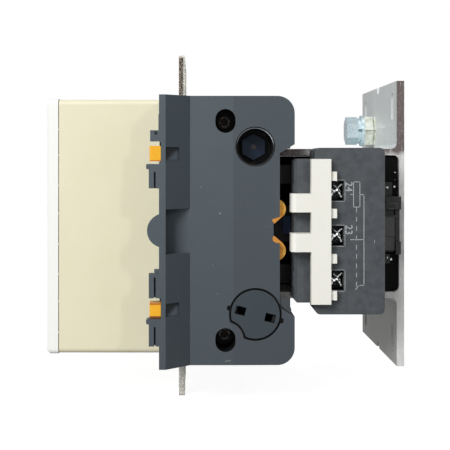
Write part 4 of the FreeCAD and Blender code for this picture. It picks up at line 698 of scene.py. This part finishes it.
# Painted shade: the cap's sides, in the gap round it, are coloured near black.
cap_side_shade = cap_grey.inside(cap_grey.axis("X"), 0.0701, 0.0001)
cap_grey.colour(cap_grey.mix(cap_side_shade, cap_colour, paint(8, 10, 13)))
cap_grey.relief(cap_grain, 0.00005)
dress(cap_grey, "blanking_cap")


# Wing details: shallow sloping floors in the lip's two windows, the rib on the lip's edge, the
# dark facet under the lower leg, and a few pale scuffs on the flat face.
def flat_piece(name, corners_mm, thick_mm):
    """A thin plate from corner points in millimetres, thickened towards the back."""
    shape = bmesh.new()
    front = [shape.verts.new(Vector(corner) / 1000) for corner in corners_mm]
    depth = Vector((thick_mm, 0, 0))
    back = [shape.verts.new((Vector(corner) - depth) / 1000) for corner in corners_mm]
    shape.faces.new(front)
    shape.faces.new(reversed(back))
    for index in range(len(front)):
        after = (index + 1) % len(front)
        shape.faces.new((front[index], back[index], back[after], front[after]))
    bmesh.ops.recalc_face_normals(shape, faces=shape.faces)
    mesh = bpy.data.meshes.new(name)
    shape.to_mesh(mesh)
    shape.free()
    return show(name, mesh)


WINDOW_HALF = 2.85
for place, window_up in (("upper", 33.3), ("lower", -37.5)):
    # Painted shadow: each window floor is coloured dark next to the lip and the window's top, lighter
    # away from them.
    window_shadow = Finish(f"{place} window floor", 0.6)
    shadow_edge = window_shadow.sum("ADD", window_shadow.axis("Y"), window_shadow.sum("MULTIPLY", window_shadow.axis("Z"), -1))
    middle = -0.1104 - window_up / 1000
    shadow_share = window_shadow.ease(shadow_edge, middle - 0.0012, middle + 0.0022)
    window_shadow.colour(window_shadow.mix(shadow_share, paint(34, 37, 42), paint(96, 104, 114)))
    window_low, window_high = window_up - WINDOW_HALF, window_up + WINDOW_HALF
    corners = [(80.5, -113.3, window_low), (74.8, -107.6, window_low),
               (74.8, -107.6, window_high), (80.5, -113.3, window_high)]
    settle(flat_piece(f"{place}_window_floor", corners, 0.6), window_shadow)

rib = block_piece("lip_edge_rib", [((79.8, -116.62, 43.9), (81.75, -116.38, 51.2))], 0.00005)
dark_grey = Finish("shaded grey moulding", 0.6)
dark_grey.colour(dark_grey.mix(dark_grey.cloud(0.001), paint(52, 58, 62), paint(66, 72, 76)))
settle(rib, dark_grey)
facet = flat_piece("lower_leg_facet", [
    (69.6, -61.2, -33.2), (69.6, -56.1, -33.4), (69.6, -56.3, -36.4), (69.6, -55.5, -39.2),
    (69.6, -56.4, -40.0), (69.6, -58.6, -38.5), (69.6, -61.0, -36.0)], 0.8)
settle(facet, dark_grey)

scuff = Finish("pale scuff", 0.7)
scuff.colour(scuff.mix(scuff.cloud(0.0004), paint(104, 110, 114), paint(190, 194, 196)))
SCUFFED_FACE_X = 0.07078
scuffs_on_face = Print(SCUFFED_FACE_X, 0.00002)
for start, end, width in (((-88.9, 5.9), (-88.4, 5.7), 0.35), ((-86.0, -62.6), (-85.3, -62.2), 0.3),
                          ((-84.6, -61.9), (-83.9, -62.2), 0.3), ((-92.0, -18.0), (-91.7, -18.1), 0.2),
                          ((-97.6, 18.2), (-97.3, 18.0), 0.2), ((-90.1, -31.2), (-89.9, -31.4), 0.2)):
    scuffs_on_face.line(start, end, width)
settle(scuffs_on_face.finish("face_scuffs"), scuff)


# Side bolts and screws: blued hexagon bolts and black cross-headed screws, deep in the wing.
blued = Finish("blued steel", 0.45, 0.2)
blue_tone = blued.cloud(0.003, 3)
blue_colour = blued.mix(blue_tone, paint(10, 30, 54), paint(20, 46, 74))
centre_mark = blued.inside(blued.near(BOLT_ACROSS, BOLT_UP), 0.0012, 0.0004)
centre_grain = blued.mix(blued.cloud(0.0006), paint(44, 40, 40), paint(128, 112, 100))
blued.colour(blued.mix(blued.sum("MULTIPLY", centre_mark, 0.7), blue_colour, centre_grain))
dress(blued, "side_bolts")

dull_steel = Finish("blackened screw steel", 0.45, 0.8)
dull_tone = dull_steel.cloud(0.0012, 3)
dull_colour = dull_steel.mix(dull_tone, paint(30, 29, 28), paint(62, 59, 56))
# A pale ring round each screw head: partly wear, partly a painted highlight on the head's rim.
RING_RADIUS = 0.0022
for up in (SCREW_UP, LOW_SCREW_UP):
    off_ring = dull_steel.sum("SUBTRACT", dull_steel.near(SCREW_ACROSS, up), RING_RADIUS)
    off_ring = dull_steel.sum("ABSOLUTE", off_ring)
    ring_break = dull_steel.ease(dull_tone, 0.4, 0.6)
    ring_wear_and_highlight = dull_steel.sum("MULTIPLY", dull_steel.inside(off_ring, 0.0003), ring_break)
    dull_colour = dull_steel.mix(ring_wear_and_highlight, dull_colour, paint(128, 122, 114))
dull_steel.colour(dull_colour)
dress(dull_steel, "side_screws")


# Terminal bars: copper bars, silver plated. The stamped edges show brown, with rough plating
# on the face beside them.
FIRST_BAR_X, HALF_PITCH, HALF_BAR = -0.05575, 0.02, 0.0099
plated = Finish("plated copper bar", 0.34, 0.2)
plating_drift = plated.sum("MULTIPLY", plated.cloud(0.001), 0.0005)
bright_share = plated.ease(plated.sum("ADD", plated.axis("Y"), plating_drift), -0.1058, -0.1055)
bright_share = plated.sum("MAXIMUM", bright_share, plated.inside(plated.axis("Z"), 0.0))
from_middle = plated.sum("PINGPONG", plated.sum("ADD", plated.axis("X"), -FIRST_BAR_X), HALF_PITCH)
bright_share = plated.sum("MAXIMUM", bright_share, plated.inside(from_middle, HALF_BAR, 0.0001))
rough_plating = plated.ease(plated.cloud(0.0007, 5), 0.4, 0.6)
bright = plated.mix(rough_plating, paint(206, 203, 192), paint(250, 247, 238))
dark = plated.mix(rough_plating, paint(52, 42, 36), paint(160, 148, 134))
plated.colour(plated.mix(bright_share, dark, bright))
plated.relief(rough_plating, 0.0002)
dress(plated, "line_bar_1", "line_bar_2", "line_bar_3", "load_bar_1", "load_bar_2", "load_bar_3")

silver = Finish("contact silver", 0.3, 1.0)
silver_tone = silver.cloud(0.0015)
silver.colour(silver.mix(silver_tone, paint(196, 196, 194), paint(232, 232, 230)))
silver.rough(silver_tone, 0.22, 0.45)
dress(silver, "line_tips", "load_tips", "bridge_tips_1", "bridge_tips_2", "bridge_tips_3")


# Arc chamber: cream heat-resistant moulding, smooth outside, a little greener in the middle
# and yellowed where it has been handled.
cream = Finish("cream moulding", 0.4)
cream_flow = cream.cloud(0.03, 3)
cream_colour = cream.mix(cream_flow, paint(240, 233, 200), paint(249, 243, 215))
touched = cream.sum("MULTIPLY", cream.cloud(0.006, 4), 0.2)
cream_colour = cream.mix(touched, cream_colour, paint(236, 230, 202))
cream.colour(cream_colour)
cream.shader.inputs["Subsurface Weight"].default_value = 0.08
cream.shader.inputs["Subsurface Radius"].default_value = (0.002, 0.0016, 0.001)
cream.relief(cream.cloud(0.004, 3), 0.00003)
dress(cream, "arc_chamber")

cap_white = Finish("white front plate", 0.4)
cap_tone = cap_white.cloud(0.012, 3)
cap_white.colour(cap_white.mix(cap_tone, paint(253, 253, 248), paint(255, 255, 253)))
# Painted light: the front plate glows faintly to stay bright white.
cap_white.shader.inputs["Emission Color"].default_value = (1, 1, 0.98, 1)
cap_white.shader.inputs["Emission Strength"].default_value = 0.04
dress(cap_white, "chamber_cap")


# Chamber seam: the dark line where the front plate meets the chamber, broken by small
# pressed points.
chamber_low, chamber_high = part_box("arc_chamber")
CORNER = 0.0024
seam_brown = Finish("dark seam", 0.7)
seam_tone = seam_brown.cloud(0.002)
seam_brown.colour(seam_brown.mix(seam_tone, paint(40, 30, 20), paint(96, 82, 60)))


def rounded_ring(low, high, radius, grow_by, steps):
    """(X, Z) points round a rectangle with round corners, grown outwards."""
    points = []
    left, right = low.x + radius, high.x - radius
    under, over = low.z + radius, high.z - radius
    corners = ((right, over, 0), (left, over, 90), (left, under, 180), (right, under, 270))
    for middle_x, middle_z, start in corners:
        for step in range(steps + 1):
            turn = math.radians(start + 90 * step / steps)
            reach = radius + grow_by
            points.append((middle_x + reach * math.cos(turn), middle_z + reach * math.sin(turn)))
    return points


def band(name, ring_out, ring_in, front, back):
    """A closed band between two rings of points, from one depth to another."""
    shape = bmesh.new()
    loops = []
    for ring, depth in ((ring_out, front), (ring_out, back), (ring_in, back), (ring_in, front)):
        loops.append([shape.verts.new((x, depth, z)) for x, z in ring])
    count = len(ring_out)
    for turn in range(4):
        first, second = loops[turn], loops[(turn + 1) % 4]
        for index in range(count):
            after = (index + 1) % count
            shape.faces.new((first[index], first[after], second[after], second[index]))
    bmesh.ops.recalc_face_normals(shape, faces=shape.faces)
    mesh = bpy.data.meshes.new(name)
    shape.to_mesh(mesh)
    shape.free()
    return show(name, mesh)


seam = band("chamber_seam", rounded_ring(chamber_low, chamber_high, CORNER, 0.00004, 6),
            rounded_ring(chamber_low, chamber_high, CORNER, -0.0003, 6),
            chamber_low.y - 0.00015, chamber_low.y + 0.0003)
settle(seam, seam_brown)
for side_name, side_x in (("right", chamber_high.x), ("left", chamber_low.x)):
    first_point = (side_x, chamber_low.y + 0.00005, 0.046)
    points = grow(f"seam_points_{side_name}", blocks, Count=8, Start=first_point,
                  Step=(0, 0, -0.0142), Block=(0.0003, 0.0007, 0.0008), Drift=(0, 0, 0.0016), Seed=3,
                  Finish=cream.material)
    settle(points, cream)


# Latches and rocker: amber acetal slides on the lip and the amber rocker behind the wing, with
# its two arms. Behind it a navy tab of the coil's insulation shows in the gap.
amber = Finish("amber acetal", 0.38)
amber_tone = amber.cloud(0.004, 3)
amber_colour = amber.mix(amber_tone, paint(255, 178, 26), paint(255, 194, 46))
# Painted shade: darker amber lines along the latches' facets and under them.
for line_up, line_half, tone in ((0.0301, 0.0003, paint(214, 120, 16)),
                                 (-0.0345, 0.0004, paint(196, 112, 14)),
                                 (-0.0405, 0.0005, paint(122, 60, 14))):
    off_line = amber.sum("ABSOLUTE", amber.sum("SUBTRACT", amber.axis("Z"), line_up))
    amber_colour = amber.mix(amber.inside(off_line, line_half), amber_colour, tone)
amber.colour(amber_colour)
amber.shader.inputs["Subsurface Weight"].default_value = 0.1
amber.shader.inputs["Subsurface Radius"].default_value = (0.0016, 0.0008, 0.0003)
dress(amber, "upper_latch", "lower_latch")

orange = Finish("amber rocker", 0.42)
orange_tone = orange.ease(orange.cloud(0.003, 3), 0.3, 0.7)
orange.colour(orange.mix(orange_tone, paint(255, 178, 62), paint(255, 206, 100)))
# Painted light: the rocker glows faintly to brighten it where it lies in shade.
orange.shader.inputs["Emission Color"].default_value = paint(255, 170, 60)
orange.shader.inputs["Emission Strength"].default_value = 0.16
orange.shader.inputs["Subsurface Weight"].default_value = 0.3
orange.shader.inputs["Subsurface Radius"].default_value = (0.003, 0.0016, 0.0006)
dress(orange, "coil_rocker")
# Painted shade: the arms get a darker copy of the rocker's amber.
shaded_orange = Finish("amber rocker arm", 0.5)
arm_tone = shaded_orange.cloud(0.002)
shaded_orange.colour(shaded_orange.mix(arm_tone, paint(186, 112, 36), paint(226, 158, 66)))
ARM_FACE_X, ARM_THICK = 70.62, 0.25
upper_arm = ((-64.5, 3.0), (-61.2, 4.15), (-60.0, 4.8), (-60.6, 3.6), (-63.6, 1.05), (-64.4, 2.1))
lower_arm = ((-64.4, -5.3), (-63.7, -4.55), (-62.8, -5.2), (-60.3, -7.4), (-58.9, -9.7), (-60.0, -9.3),
             (-61.1, -7.9), (-62.6, -7.9), (-64.2, -6.9))
for place, corners in (("upper", upper_arm), ("lower", lower_arm)):
    arm = flat_piece(f"rocker_arm_{place}", [(ARM_FACE_X, y, z) for y, z in corners], ARM_THICK)
    settle(arm, shaded_orange, "rocker_body")
navy = Finish("navy insulation tab", 0.6)
navy.colour(navy.mix(navy.cloud(0.002), paint(10, 30, 66), paint(26, 66, 116)))
tab = block_piece("coil_insulation_tab", [((53.0, -58.6, -4.6), (55.6, -54.7, 3.8))], 0.0002)
settle(tab, navy)


# Earth nut: yellow passivated hexagon nut against the base's upper flange.
yellow_zinc = Finish("yellow passivated nut", 0.3, 0.4)
nut_tone = yellow_zinc.ease(yellow_zinc.cloud(0.0028, 4), 0.3, 0.6)
nut_colour = yellow_zinc.mix(nut_tone, paint(204, 208, 188), paint(240, 243, 234))
nut_low, nut_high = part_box("earth_nut")
nut_up = (nut_low.z + nut_high.z) / 2
# Painted shade: dark lines along the nut's middle corner and near its end.
off_edge = yellow_zinc.sum("ABSOLUTE", yellow_zinc.sum("SUBTRACT", yellow_zinc.axis("Z"), nut_up))
corner_line = yellow_zinc.inside(off_edge, 0.00025, 0.0002)
off_end = yellow_zinc.sum("SUBTRACT", yellow_zinc.axis("Y"), nut_high.y - 0.0009)
end_line = yellow_zinc.inside(yellow_zinc.sum("ABSOLUTE", off_end), 0.00022, 0.0002)
shade_lines = yellow_zinc.sum("MAXIMUM", corner_line, end_line)
shade_lines = yellow_zinc.sum("MULTIPLY", shade_lines, 0.8)
yellow_zinc.colour(yellow_zinc.mix(shade_lines, nut_colour, paint(112, 112, 88)))
dress(yellow_zinc, "earth_nut")
